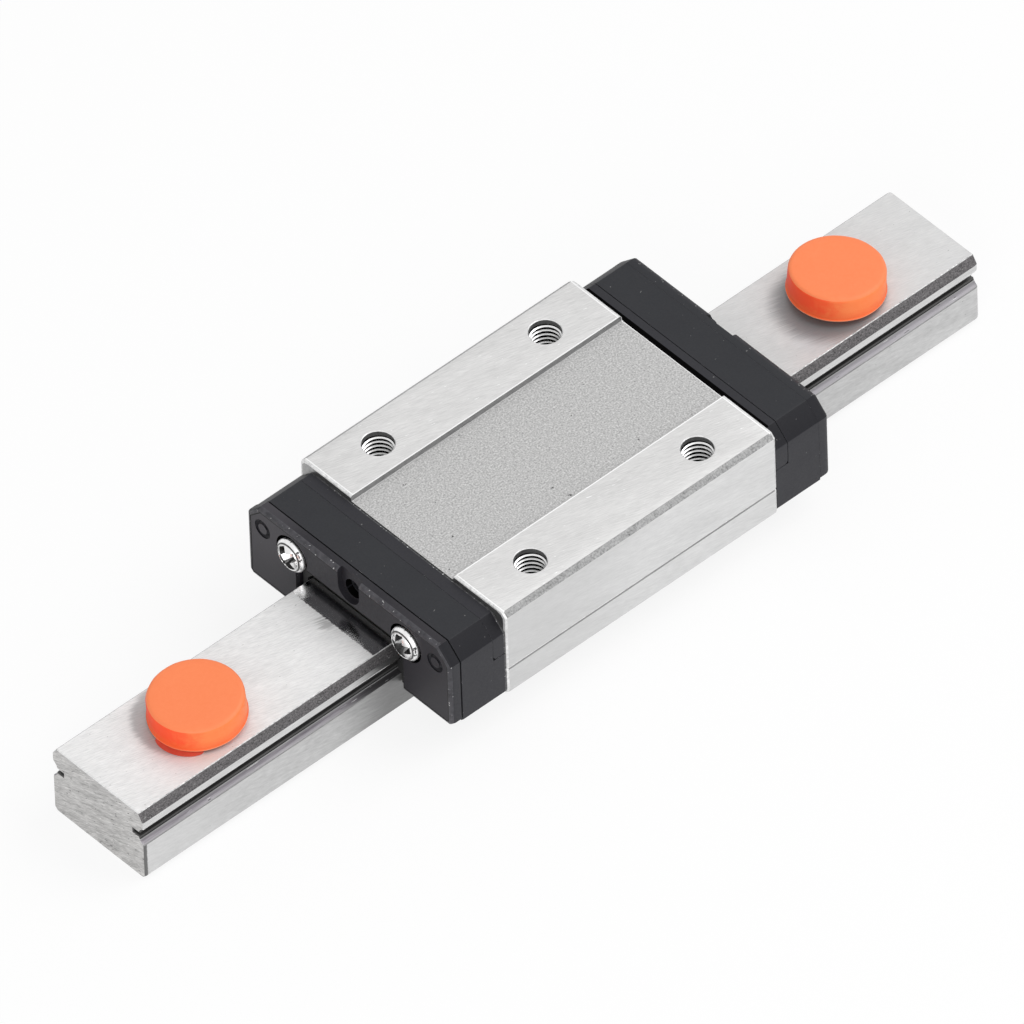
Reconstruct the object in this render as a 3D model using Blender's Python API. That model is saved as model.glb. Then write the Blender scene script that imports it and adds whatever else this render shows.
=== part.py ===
"""Miniature linear guide, size 12: a ground rail, a long recirculating-ball carriage and two rail plugs.

Metres, +Z up. The origin is the centre of the rail's underside. +X runs along the rail and +Y across it.
Pieces of the carriage are modelled about the carriage's own centre and carried by an empty at CARRIAGE_X.
An end piece is modelled for the +X end, and its twin is the same mesh turned half round.
"""

import math

import bmesh
import bpy
from mathutils import Matrix, Vector

MM = 0.001

# Rail
RAIL_LENGTH = 100.0 * MM
RAIL_WIDTH = 12.0 * MM
RAIL_HEIGHT = 8.0 * MM
RAIL_TOP_CHAMFER = 0.6 * MM
RAIL_FOOT_CHAMFER = 0.4 * MM
RAIL_END_CHAMFER = 0.15 * MM
HOLE_PITCH = 25.0 * MM
HOLE_END_MARGIN = 5.0 * MM
BOLT_HOLE_DIAMETER = 3.5 * MM
HEAD_BORE_DIAMETER = 6.0 * MM
HEAD_BORE_DEPTH = 4.5 * MM

# Balls and raceways. The row's centre stands this far out from the rail's side and this high above its foot.
BALL_DIAMETER = 2.0 * MM
BALL_ROW_OUT = 0.48 * MM
BALL_ROW_HEIGHT = 5.28 * MM
CONTACT_ANGLE = math.radians(45)
RACEWAY_CLEARANCE = 0.05 * MM
RACEWAY_OSCULATION = 1.06
FLANK_SPREAD = math.radians(7)
WIRE_SLOT_HEIGHT = 0.6 * MM
WIRE_SLOT_DEPTH = 1.4 * MM
RETURN_ROW_SPACING = 3.52 * MM
BORE_CLEARANCE = 0.09 * MM
TURN_CLEARANCE = 0.12 * MM
GUIDE_HALF_HEIGHT = 1.0 * MM
TRAIN_PITCH_SHARE = 0.985

# Retainer wire
WIRE_DIAMETER = 0.4 * MM
WIRE_GAP_TO_BALLS = 0.1 * MM
WIRE_HOOK = 2.8 * MM
WIRE_BEND_RADIUS = 0.5 * MM
WIRE_SEAT_DEPTH = 0.53 * MM

# Bearing block
BLOCK_LENGTH = 32.4 * MM
BLOCK_WIDTH = 27.0 * MM
BLOCK_TOP = 13.0 * MM
BLOCK_UNDERSIDE = 3.0 * MM
BLOCK_TOP_CHAMFER = 0.4 * MM
BLOCK_FOOT_CHAMFER = 0.25 * MM
BLOCK_EDGE_BREAK = 0.18 * MM
CHANNEL_SIDE_GAP = 0.35 * MM
CHANNEL_ROOF_GAP = 0.5 * MM
CHANNEL_CORNER = 0.3 * MM
RECESS_WIDTH = 13.4 * MM
RECESS_DEPTH = 0.5 * MM
RECESS_WALL_RUN = 0.12 * MM
DATUM_LINE_HEIGHT = 6.1 * MM
DATUM_LINE_WIDTH = 0.2 * MM
DATUM_LINE_DEPTH = 0.1 * MM
TAPPED_HOLE_DIAMETER = 3.0 * MM
TAPPED_HOLE_DEPTH = 3.5 * MM
TAPPED_HOLE_LEAD_IN = 0.12 * MM
DRILL_POINT = math.radians(59)
TAPPED_SPACING_X = 20.0 * MM
TAPPED_SPACING_Y = 20.0 * MM

# End parts. Flat joints between them keep a hairline gap.
JOINT_GAP = 0.08 * MM
FRAME_THICKNESS = 1.34 * MM
FRAME_STEP_HEIGHT = 8.3 * MM
FRAME_LEG_INSET = 1.2 * MM
FRAME_FOOT = 3.8 * MM
CAP_THICKNESS = 3.69 * MM
SEAL_THICKNESS = 1.23 * MM
END_INSET = 0.1 * MM
END_TOP = 12.4 * MM
END_FOOT = 3.2 * MM
END_SHOULDER = 1.6 * MM
END_CORNER = 0.3 * MM
END_SIDE_GAP = 0.3 * MM
END_ROOF_GAP = 0.6 * MM

# Seal plate and wiper lip
SEAL_RIM_BEVEL = 0.35 * MM
SEAL_FOOT_CORNER = 0.45 * MM
SEAL_OPENING_SIDE = 1.0 * MM
SEAL_OPENING_TOP = 1.1 * MM
SEAL_OPENING_CORNER = 1.3 * MM
POCKET_WIDTH = 2.8 * MM
POCKET_DEPTH = 0.6 * MM
POCKET_CENTRE_HEIGHT = 10.7 * MM
GREASE_HOLE_DIAMETER = 1.9 * MM
GREASE_HOLE_HEIGHT = 10.6 * MM
EJECTOR_MARK_DIAMETER = 1.5 * MM
EJECTOR_MARK_DEPTH = 0.12 * MM
EJECTOR_MARK_SPACING = 22.7 * MM
EJECTOR_MARK_HEIGHT = 10.1 * MM
LIP_THICKNESS = 0.55 * MM
LIP_EDGE_GAP = 0.06 * MM
LIP_RAIL_GAP = 0.12 * MM

# Cap screws
SCREW_OUT = 1.5 * MM
SCREW_UP = 1.7 * MM
SCREW_DIAMETER = 1.9 * MM
SCREW_REACH = 3.6 * MM
SCREW_HEAD_DIAMETER = 3.5 * MM
SCREW_HEAD_HEIGHT = 1.25 * MM
SCREW_HEAD_RIM = 0.4 * MM
SCREW_SINK = 0.5 * MM
SCREW_CLEARANCE = 0.12 * MM
SCREW_HEAD_CLEARANCE = 0.2 * MM
CROSS_SPAN = 1.9 * MM
CROSS_WIDTH = 0.5 * MM
CROSS_DEPTH = 0.8 * MM

# Plugs. Each is pushed a little off its hole's centre and leans on the outer edge of its head.
PLUG_DIAMETER = 9.1 * MM
PLUG_HEIGHT = 2.5 * MM
PLUG_DRAFT = 0.12 * MM
PLUG_TOP_ROUND = 0.4 * MM
PLUG_STEM_DIAMETER = 3.4 * MM
PLUG_STEM_LENGTH = 4.0 * MM
PLUG_STEM_CHAMFER = 0.4 * MM
PLUG_SEAT_GAP = 0.06 * MM
NEAR_PLUG_SHIFT = (-0.8 * MM, -0.2 * MM)
NEAR_PLUG_LEAN = math.radians(-4.1)
FAR_PLUG_SHIFT = (0.45 * MM, -0.45 * MM)
FAR_PLUG_LEAN = math.radians(4.6)

# Where the carriage stands on the rail
CARRIAGE_X = 2.6 * MM

# Facets
ARC_STEPS = 4
HOLE_SIDES = 24
SMALL_HOLE_SIDES = 16
PLUG_SIDES = 32
BALL_RING_SIDES = 8
WIRE_SIDES = 8
PAST = 1.0 * MM

# Places worked out from the sizes above
RAIL_SIDE = RAIL_WIDTH / 2
BALL_RADIUS = BALL_DIAMETER / 2
BALL_ROW_Y = RAIL_SIDE + BALL_ROW_OUT
RETURN_ROW_Y = BALL_ROW_Y + RETURN_ROW_SPACING
RACEWAY_RADIUS = BALL_RADIUS * RACEWAY_OSCULATION
CHANNEL_SIDE = RAIL_SIDE + CHANNEL_SIDE_GAP
CHANNEL_ROOF = RAIL_HEIGHT + CHANNEL_ROOF_GAP
BLOCK_END = BLOCK_LENGTH / 2
END_SIDE = BLOCK_WIDTH / 2 - END_INSET
FRAME_LEG_SIDE = END_SIDE - FRAME_LEG_INSET
FRAME_INNER = BLOCK_END + JOINT_GAP
FRAME_OUTER = FRAME_INNER + FRAME_THICKNESS
CAP_INNER = FRAME_OUTER + JOINT_GAP
CAP_OUTER = CAP_INNER + CAP_THICKNESS
SEAL_INNER = CAP_OUTER + JOINT_GAP
SEAL_OUTER = SEAL_INNER + SEAL_THICKNESS
SCREW_Y = RAIL_SIDE + SCREW_OUT
SCREW_Z = RAIL_HEIGHT + SCREW_UP
SCREW_SEAT = SEAL_OUTER - SCREW_SINK
TURN_RADIUS = RETURN_ROW_SPACING / 2
TURN_Y = BALL_ROW_Y + TURN_RADIUS
LOADED_COUNT = int(BLOCK_LENGTH / BALL_DIAMETER)
LOADED_PITCH = BLOCK_LENGTH / LOADED_COUNT
TRAIN_LEAD_IN = FRAME_OUTER - LOADED_PITCH * (LOADED_COUNT + 1) / 2


def arc(centre, radius, start, end, steps=ARC_STEPS):
    """Points on a circle, from one angle to another, both ends included."""
    turn = (end - start) / steps
    return [
        (centre[0] + radius * math.cos(start + turn * i), centre[1] + radius * math.sin(start + turn * i))
        for i in range(steps + 1)
    ]


def mirrored(half):
    """A closed outline from its +Y half, which runs counter-clockwise from below to above."""
    return half + [(-y, z) for y, z in reversed(half)]


def inset(outline, amounts):
    """The outline with each edge, from point i to point i + 1, moved inwards by amounts[i]."""
    count = len(outline)
    lines = []
    for i in range(count):
        a = Vector(outline[i])
        along = (Vector(outline[(i + 1) % count]) - a).normalized()
        lines.append((a + Vector((-along.y, along.x)) * amounts[i], along))
    moved = []
    for i in range(count):
        (p, u), (q, v) = lines[i - 1], lines[i]
        cross = u.x * v.y - u.y * v.x
        if abs(cross) < 1e-6:
            moved.append(tuple(q))
            continue
        step = ((q.x - p.x) * v.y - (q.y - p.y) * v.x) / cross
        moved.append(tuple(p + u * step))
    return moved


def raceway_flank(direction, radius_change, start, end, steps=ARC_STEPS):
    """One side of a Gothic arch: an arc a little wider than the ball, meeting it in this direction."""
    offset = RACEWAY_RADIUS - BALL_RADIUS - RACEWAY_CLEARANCE
    centre = (
        BALL_ROW_Y - offset * math.cos(direction),
        BALL_ROW_HEIGHT - offset * math.sin(direction),
    )
    return arc(centre, RACEWAY_RADIUS + radius_change, start, end, steps)


def rail_flank(grown=0.0, slot=True, foot=0.0):
    """The rail's +Y side from foot to top. Grown outwards and with no slot, it is what the lip wipes."""
    side = RAIL_SIDE + grown
    slot_half = WIRE_SLOT_HEIGHT / 2 if slot else WIRE_SLOT_HEIGHT / 2 - grown
    mouth = math.asin(slot_half / (RACEWAY_RADIUS - grown))
    steep = math.pi / 2 - CONTACT_ANGLE - FLANK_SPREAD
    lower = raceway_flank(math.pi + CONTACT_ANGLE, -grown, math.pi * 1.5 - steep, math.pi + mouth)
    upper = raceway_flank(math.pi - CONTACT_ANGLE, -grown, math.pi - mouth, math.pi / 2 + steep)
    exit_drop = (side - lower[0][0]) * math.tan(steep)
    turn = math.pi / 2 + steep
    nose_radius = (side - upper[-1][0]) / (1 + math.cos(turn))
    nose_centre = (side - nose_radius, upper[-1][1] + nose_radius * math.sin(turn))
    nose = arc(nose_centre, nose_radius, turn - math.pi, 0)[1:]
    points = [(side, foot), (side, lower[0][1] - exit_drop)] + lower
    if slot:
        bottom = RAIL_SIDE - WIRE_SLOT_DEPTH
        points += [(bottom, lower[-1][1]), (bottom, upper[0][1])]
    return points + upper + nose


def rail_outline():
    """The rail's cross-section."""
    half = [(RAIL_SIDE - RAIL_FOOT_CHAMFER, 0.0)]
    half += rail_flank(foot=RAIL_FOOT_CHAMFER)
    half += [(RAIL_SIDE, RAIL_HEIGHT - RAIL_TOP_CHAMFER), (RAIL_SIDE - RAIL_TOP_CHAMFER, RAIL_HEIGHT)]
    return mirrored(half)


def block_halves():
    """The block's cross-section on the +Y side, as its outer run and its inner run."""
    side = BLOCK_WIDTH / 2
    line = DATUM_LINE_WIDTH / 2
    recess = RECESS_WIDTH / 2
    outer = [
        (side - BLOCK_FOOT_CHAMFER, BLOCK_UNDERSIDE),
        (side, BLOCK_UNDERSIDE + BLOCK_FOOT_CHAMFER),
        (side, DATUM_LINE_HEIGHT - line),
        (side - DATUM_LINE_DEPTH, DATUM_LINE_HEIGHT),
        (side, DATUM_LINE_HEIGHT + line),
        (side, BLOCK_TOP - BLOCK_TOP_CHAMFER),
        (side - BLOCK_TOP_CHAMFER, BLOCK_TOP),
        (recess + RECESS_WALL_RUN, BLOCK_TOP),
        (recess, BLOCK_TOP - RECESS_DEPTH),
    ]
    corner = (CHANNEL_SIDE - CHANNEL_CORNER, CHANNEL_ROOF - CHANNEL_CORNER)
    roof = arc(corner, CHANNEL_CORNER, math.pi / 2, 0)
    upper = raceway_flank(CONTACT_ANGLE, 0.0, math.pi / 2, 0, ARC_STEPS + 1)
    lower = raceway_flank(-CONTACT_ANGLE, 0.0, 0, -math.pi / 2, ARC_STEPS + 1)
    inner = roof + [(CHANNEL_SIDE, upper[0][1])] + upper[:-1] + lower[1:]
    inner += [(CHANNEL_SIDE, lower[-1][1]), (CHANNEL_SIDE, BLOCK_UNDERSIDE)]
    return outer, inner


def end_half(top, foot, foot_corner):
    """The end parts' outer outline on the +Y side, foot to top: straight sides and sloping shoulders."""
    side = END_SIDE
    return [
        (side - foot_corner, foot),
        (side, foot + foot_corner),
        (side, top - END_SHOULDER),
        (side - END_SHOULDER, top),
    ]


def saddle(outer, inner):
    """A closed outline that straddles the rail: an outer run, foot to top, and an inner one, roof to foot."""
    left_outer = [(-y, z) for y, z in reversed(outer)]
    left_inner = [(-y, z) for y, z in reversed(inner)]
    return outer + left_outer + left_inner + inner


def outer_bevels(outer, inner, amount):
    """Amounts for inset that bevel a saddle's outer edges and its feet, and leave its inner run alone."""
    return [amount] * (2 * len(outer)) + [0.0] * (2 * len(inner) - 1) + [amount]


def add_sections(bm, sections):
    """Adds a closed solid along X through outlines of equal point count, each given as (x, outline)."""
    rings = [[bm.verts.new((x, y, z)) for y, z in outline] for x, outline in sections]
    for near, far in zip(rings, rings[1:]):
        for i in range(len(near)):
            bm.faces.new((near[i - 1], near[i], far[i], far[i - 1]))
    bm.faces.new(rings[0])
    bm.faces.new(rings[-1])


def join_rings(bm, near, far, sides):
    """Adds the faces between two rings. A ring of one point is a pole."""
    for i in range(sides):
        corners = [near[i % len(near)], near[(i + 1) % len(near)]]
        corners += [far[(i + 1) % len(far)], far[i % len(far)]]
        bm.faces.new(list(dict.fromkeys(corners)))


def add_turned(bm, profile, origin, axis, sides):
    """Adds a solid turned about an axis. The profile is (radius, distance along the axis), pole to pole."""
    turn = Vector((0, 0, 1)).rotation_difference(Vector(axis)).to_matrix().to_4x4()
    place = Matrix.Translation(origin) @ turn
    rings = []
    for radius, along in profile:
        if radius == 0:
            rings.append([bm.verts.new(place @ Vector((0, 0, along)))])
            continue
        angles = [math.tau * i / sides for i in range(sides)]
        circle = [Vector((radius * math.cos(a), radius * math.sin(a), along)) for a in angles]
        rings.append([bm.verts.new(place @ point) for point in circle])
    for near, far in zip(rings, rings[1:]):
        join_rings(bm, near, far, sides)


def add_swept(bm, stations, sides):
    """Adds a round bar along a level path of (x, y, heading, height, radius), where radius 0 is a pole."""
    rings = []
    for x, y, heading, height, radius in stations:
        across = Vector((-math.sin(heading), math.cos(heading), 0))
        centre = Vector((x, y, height))
        if radius == 0:
            rings.append([bm.verts.new(centre)])
            continue
        angles = [math.tau * (i + 0.5) / sides for i in range(sides)]
        spokes = [math.cos(a) * across + math.sin(a) * Vector((0, 0, 1)) for a in angles]
        rings.append([bm.verts.new(centre + radius * spoke) for spoke in spokes])
    for near, far in zip(rings, rings[1:]):
        join_rings(bm, near, far, sides)
    for ring in (rings[0], rings[-1]):
        if len(ring) > 1:
            bm.faces.new(ring)


def mesh_from(name, build, *args):
    """A mesh made by one of the add functions, with its faces pointing outwards."""
    bm = bmesh.new()
    build(bm, *args)
    bmesh.ops.recalc_face_normals(bm, faces=bm.faces)
    mesh = bpy.data.meshes.new(name)
    bm.to_mesh(mesh)
    bm.free()
    return mesh


def shaped(mesh, cutters=(), additions=()):
    """The mesh with the additions joined to it and then the cutters taken out of it."""
    body = bpy.data.objects.new("shaping", mesh)
    bpy.context.scene.collection.objects.link(body)
    tools = []
    for operation, others in (("UNION", additions), ("DIFFERENCE", cutters)):
        for other in others:
            tool = bpy.data.objects.new("tool", other)
            tool.hide_render = True
            tool.display_type = "WIRE"
            bpy.context.scene.collection.objects.link(tool)
            tools.append(tool)
            change = body.modifiers.new(operation.lower(), "BOOLEAN")
            change.operation = operation
            change.solver = "EXACT"
            change.object = tool
    graph = bpy.context.evaluated_depsgraph_get()
    result = bpy.data.meshes.new_from_object(body.evaluated_get(graph))
    result.name = mesh.name
    for item in [body] + tools:
        bpy.data.objects.remove(item)
    return result


def finish(name, colour, metallic, roughness):
    """A plain material."""
    material = bpy.data.materials.new(name)
    material.use_nodes = True
    shader = material.node_tree.nodes["Principled BSDF"]
    shader.inputs["Base Color"].default_value = (*colour, 1.0)
    shader.inputs["Metallic"].default_value = metallic
    shader.inputs["Roughness"].default_value = roughness
    material.diffuse_color = (*colour, 1.0)
    return material


def place(name, mesh, material, parent=None, location=(0, 0, 0), rotation=(0, 0, 0), smooth_below=None):
    """Puts a mesh in the scene as a named piece."""
    if smooth_below is not None:
        mesh.shade_smooth()
        mesh.set_sharp_from_angle(angle=smooth_below)
    if not mesh.materials:
        mesh.materials.append(material)
    piece = bpy.data.objects.new(name, mesh)
    bpy.context.scene.collection.objects.link(piece)
    piece.parent = parent
    piece.location = location
    piece.rotation_euler = rotation
    return piece


def rail_hole_places():
    """X of each fixing hole: as many as fit between the end margins, even about the rail's centre."""
    count = int((RAIL_LENGTH - 2 * HOLE_END_MARGIN) / HOLE_PITCH) + 1
    return [(i - (count - 1) / 2) * HOLE_PITCH for i in range(count)]


def rail_mesh():
    """The rail: one ground section with chamfered ends and counterbored holes."""
    outline = rail_outline()
    small = inset(outline, [RAIL_END_CHAMFER] * len(outline))
    end = RAIL_LENGTH / 2
    waist = end - RAIL_END_CHAMFER
    mesh = mesh_from("rail", add_sections, [(-end, small), (-waist, outline), (waist, outline), (end, small)])
    floor = RAIL_HEIGHT - HEAD_BORE_DEPTH
    profile = [
        (0, -PAST),
        (BOLT_HOLE_DIAMETER / 2, -PAST),
        (BOLT_HOLE_DIAMETER / 2, floor),
        (HEAD_BORE_DIAMETER / 2, floor),
        (HEAD_BORE_DIAMETER / 2, RAIL_HEIGHT + PAST),
        (0, RAIL_HEIGHT + PAST),
    ]
    holes = [
        mesh_from("hole", add_turned, profile, (x, 0, 0), (0, 0, 1), HOLE_SIDES) for x in rail_hole_places()
    ]
    return shaped(mesh, cutters=holes)


def through_bore(name, diameter, y, z, start, end, sides):
    """A plain round cutter along X."""
    profile = [(0, start), (diameter / 2, start), (diameter / 2, end), (0, end)]
    return mesh_from(name, add_turned, profile, (0, y, z), (1, 0, 0), sides)


def block_mesh():
    """The bearing block, with its raceways, return bores, tapped holes and cap screw holes."""
    outer, inner = block_halves()
    outline = saddle(outer, inner)
    small = inset(outline, outer_bevels(outer, inner, BLOCK_EDGE_BREAK))
    waist = BLOCK_END - BLOCK_EDGE_BREAK
    mesh = mesh_from(
        "block",
        add_sections,
        [(-BLOCK_END, small), (-waist, outline), (waist, outline), (BLOCK_END, small)],
    )
    bore = BALL_DIAMETER + 2 * BORE_CLEARANCE
    radius = TAPPED_HOLE_DIAMETER / 2
    floor = BLOCK_TOP - TAPPED_HOLE_DEPTH
    tapped = [
        (0, floor - radius / math.tan(DRILL_POINT)),
        (radius, floor),
        (radius, BLOCK_TOP - TAPPED_HOLE_LEAD_IN),
        (radius + TAPPED_HOLE_LEAD_IN + PAST, BLOCK_TOP + PAST),
        (0, BLOCK_TOP + PAST),
    ]
    screw_hole = SCREW_DIAMETER + 2 * SCREW_CLEARANCE
    screw_floor = BLOCK_END - SCREW_REACH - SCREW_CLEARANCE
    beyond = BLOCK_END + PAST
    cutters = []
    for side in (-1, 1):
        cutters.append(
            through_bore("return", bore, side * RETURN_ROW_Y, BALL_ROW_HEIGHT, -beyond, beyond, HOLE_SIDES)
        )
        for end in (-1, 1):
            at = (end * TAPPED_SPACING_X / 2, side * TAPPED_SPACING_Y / 2, 0)
            cutters.append(mesh_from("tapped", add_turned, tapped, at, (0, 0, 1), HOLE_SIDES))
            start, stop = sorted((end * screw_floor, end * beyond))
            cutters.append(
                through_bore("screw hole", screw_hole, side * SCREW_Y, SCREW_Z, start, stop, SMALL_HOLE_SIDES)
            )
    return shaped(mesh, cutters=cutters)


def turn_profile(grown):
    """Half the section of a ball turn about its upright axis: a flat-topped puck with a rounded rim."""
    radius = BALL_RADIUS + grown
    rim = arc((TURN_RADIUS, 0), radius, -math.pi / 2, math.pi / 2, 2 * ARC_STEPS)
    return [(0, -radius)] + rim + [(0, radius)]


def guide_profile():
    """Half the section of the post that the balls go round: waisted, to follow them."""
    radius = BALL_RADIUS + TURN_CLEARANCE
    reach = math.asin(GUIDE_HALF_HEIGHT / radius)
    waist = arc((TURN_RADIUS, 0), radius, math.pi + reach, math.pi - reach, ARC_STEPS)
    return [(0, -GUIDE_HALF_HEIGHT)] + waist + [(0, GUIDE_HALF_HEIGHT)]


def return_frame_mesh():
    """The thin plate between block and cap, which carries the inner guides of both ball turns."""
    half = END_SIDE
    outer = [
        (FRAME_LEG_SIDE, FRAME_FOOT),
        (FRAME_LEG_SIDE, FRAME_STEP_HEIGHT),
        (half, FRAME_STEP_HEIGHT),
        (half, END_TOP - END_SHOULDER),
        (half - END_SHOULDER, END_TOP),
    ]
    inner = [
        (RAIL_SIDE + END_SIDE_GAP, RAIL_HEIGHT + END_ROOF_GAP),
        (RAIL_SIDE + END_SIDE_GAP, FRAME_FOOT),
    ]
    outline = saddle(outer, inner)
    plate = mesh_from("return frame", add_sections, [(FRAME_INNER, outline), (FRAME_OUTER, outline)])
    passage = BALL_DIAMETER + 2 * BORE_CLEARANCE
    screw_hole = SCREW_DIAMETER + 2 * SCREW_CLEARANCE
    start, stop = FRAME_INNER - PAST, FRAME_OUTER + PAST
    holes = []
    posts = []
    for side in (-1, 1):
        for y in (BALL_ROW_Y, RETURN_ROW_Y):
            holes.append(
                through_bore("passage", passage, side * y, BALL_ROW_HEIGHT, start, stop, SMALL_HOLE_SIDES)
            )
        holes.append(
            through_bore("screw hole", screw_hole, side * SCREW_Y, SCREW_Z, start, stop, SMALL_HOLE_SIDES)
        )
        centre = (FRAME_OUTER, side * TURN_Y, BALL_ROW_HEIGHT)
        posts.append(mesh_from("guide", add_turned, guide_profile(), centre, (0, 0, 1), SMALL_HOLE_SIDES))
    return shaped(shaped(plate, cutters=holes), additions=posts)


def end_cap_mesh():
    """The moulding that turns the balls round. Its side walls reach past the return frame to the block."""
    inner = [
        (RAIL_SIDE + END_SIDE_GAP, RAIL_HEIGHT + END_ROOF_GAP),
        (RAIL_SIDE + END_SIDE_GAP, END_FOOT),
    ]
    outline = saddle(end_half(END_TOP, END_FOOT, END_CORNER), inner)
    body = mesh_from("end cap", add_sections, [(FRAME_INNER, outline), (CAP_OUTER, outline)])
    leg = FRAME_LEG_SIDE + JOINT_GAP
    step = FRAME_STEP_HEIGHT - JOINT_GAP
    beyond = END_SIDE + PAST
    pocket = mirrored(
        [(leg, FRAME_FOOT - JOINT_GAP), (leg, step), (beyond, step), (beyond, END_TOP + PAST)]
    )
    cutters = [mesh_from("frame pocket", add_sections, [(FRAME_INNER - PAST, pocket), (CAP_INNER, pocket)])]
    start, stop = CAP_INNER - PAST, CAP_OUTER + PAST
    screw_hole = SCREW_DIAMETER + 2 * SCREW_CLEARANCE
    way = ("grease hole", GREASE_HOLE_DIAMETER, 0, GREASE_HOLE_HEIGHT, start, stop, SMALL_HOLE_SIDES)
    cutters.append(through_bore(*way))
    slot_floor = CAP_OUTER - WIRE_SEAT_DEPTH
    slot_low = BALL_ROW_HEIGHT - WIRE_SLOT_HEIGHT / 2
    slot_high = BALL_ROW_HEIGHT + WIRE_SLOT_HEIGHT / 2
    for side in (-1, 1):
        centre = (FRAME_OUTER, side * TURN_Y, BALL_ROW_HEIGHT)
        turn = turn_profile(TURN_CLEARANCE)
        cutters.append(mesh_from("ball turn", add_turned, turn, centre, (0, 0, 1), HOLE_SIDES))
        cutters.append(
            through_bore("screw hole", screw_hole, side * SCREW_Y, SCREW_Z, start, stop, SMALL_HOLE_SIDES)
        )
        mouth = side * (RAIL_SIDE - END_SIDE_GAP)
        hook_end = side * (wire_row_y() + WIRE_HOOK + WIRE_DIAMETER)
        near, far = sorted((mouth, hook_end))
        seat = [(near, slot_low), (far, slot_low), (far, slot_high), (near, slot_high)]
        cutters.append(mesh_from("wire seat", add_sections, [(slot_floor, seat), (CAP_OUTER + PAST, seat)]))
    return shaped(body, cutters=cutters)


def seal_opening(gap):
    """The rounded opening over the rail on the +Y side, roof to foot, made smaller by a gap."""
    side = RAIL_SIDE + SEAL_OPENING_SIDE - gap
    top = RAIL_HEIGHT + SEAL_OPENING_TOP - gap
    radius = SEAL_OPENING_CORNER - gap
    return arc((side - radius, top - radius), radius, math.pi / 2, 0) + [(side, END_FOOT + JOINT_GAP)]


def seal_plate_mesh():
    """The outer plate, with a bevelled rim, a pocket round the grease hole and sunk screw seats."""
    foot = END_FOOT + JOINT_GAP
    outer = end_half(END_TOP + JOINT_GAP, foot, SEAL_FOOT_CORNER)
    inner = seal_opening(0.0)
    outline = saddle(outer, inner)
    small = inset(outline, outer_bevels(outer, inner, SEAL_RIM_BEVEL))
    sections = [(SEAL_INNER, outline), (SEAL_OUTER - SEAL_RIM_BEVEL, outline), (SEAL_OUTER, small)]
    plate = mesh_from("seal plate", add_sections, sections)
    half = POCKET_WIDTH / 2
    bowl = arc((0, POCKET_CENTRE_HEIGHT), half, math.pi, math.tau, 2 * ARC_STEPS)
    pocket = bowl + [(half, END_TOP + PAST), (-half, END_TOP + PAST)]
    pocket_floor = SEAL_OUTER - POCKET_DEPTH
    start, stop = SEAL_INNER - PAST, SEAL_OUTER + PAST
    way = ("grease hole", GREASE_HOLE_DIAMETER, 0, GREASE_HOLE_HEIGHT, start, stop, SMALL_HOLE_SIDES)
    cutters = [
        mesh_from("pocket", add_sections, [(pocket_floor, pocket), (stop, pocket)]),
        through_bore(*way),
    ]
    shank = SCREW_DIAMETER / 2 + SCREW_CLEARANCE
    head = SCREW_HEAD_DIAMETER / 2 + SCREW_HEAD_CLEARANCE
    seat = [
        (0, start),
        (shank, start),
        (shank, SCREW_SEAT),
        (head, SCREW_SEAT),
        (head, stop),
        (0, stop),
    ]
    mark_floor = SEAL_OUTER - EJECTOR_MARK_DEPTH
    for side in (-1, 1):
        cutters.append(
            mesh_from("screw seat", add_turned, seat, (0, side * SCREW_Y, SCREW_Z), (1, 0, 0), HOLE_SIDES)
        )
        mark_y = side * EJECTOR_MARK_SPACING / 2
        mark = ("mark", EJECTOR_MARK_DIAMETER, mark_y, EJECTOR_MARK_HEIGHT, mark_floor, stop, SMALL_HOLE_SIDES)
        cutters.append(through_bore(*mark))
    return shaped(plate, cutters=cutters)


def seal_lip_mesh():
    """The rubber wiper, which fills the plate's opening and follows the rail into its raceways."""
    foot = END_FOOT + JOINT_GAP
    top = RAIL_HEIGHT + LIP_RAIL_GAP
    side = RAIL_SIDE + LIP_RAIL_GAP
    outer = list(reversed(seal_opening(LIP_EDGE_GAP)))
    wiped = rail_flank(grown=LIP_RAIL_GAP, slot=False, foot=foot)
    chamfer = [(side, RAIL_HEIGHT - RAIL_TOP_CHAMFER), (RAIL_SIDE - RAIL_TOP_CHAMFER, top)]
    inner = list(reversed(wiped + chamfer))
    outline = saddle(outer, inner)
    start = SEAL_INNER + JOINT_GAP
    return mesh_from("seal lip", add_sections, [(start, outline), (start + LIP_THICKNESS, outline)])


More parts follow.
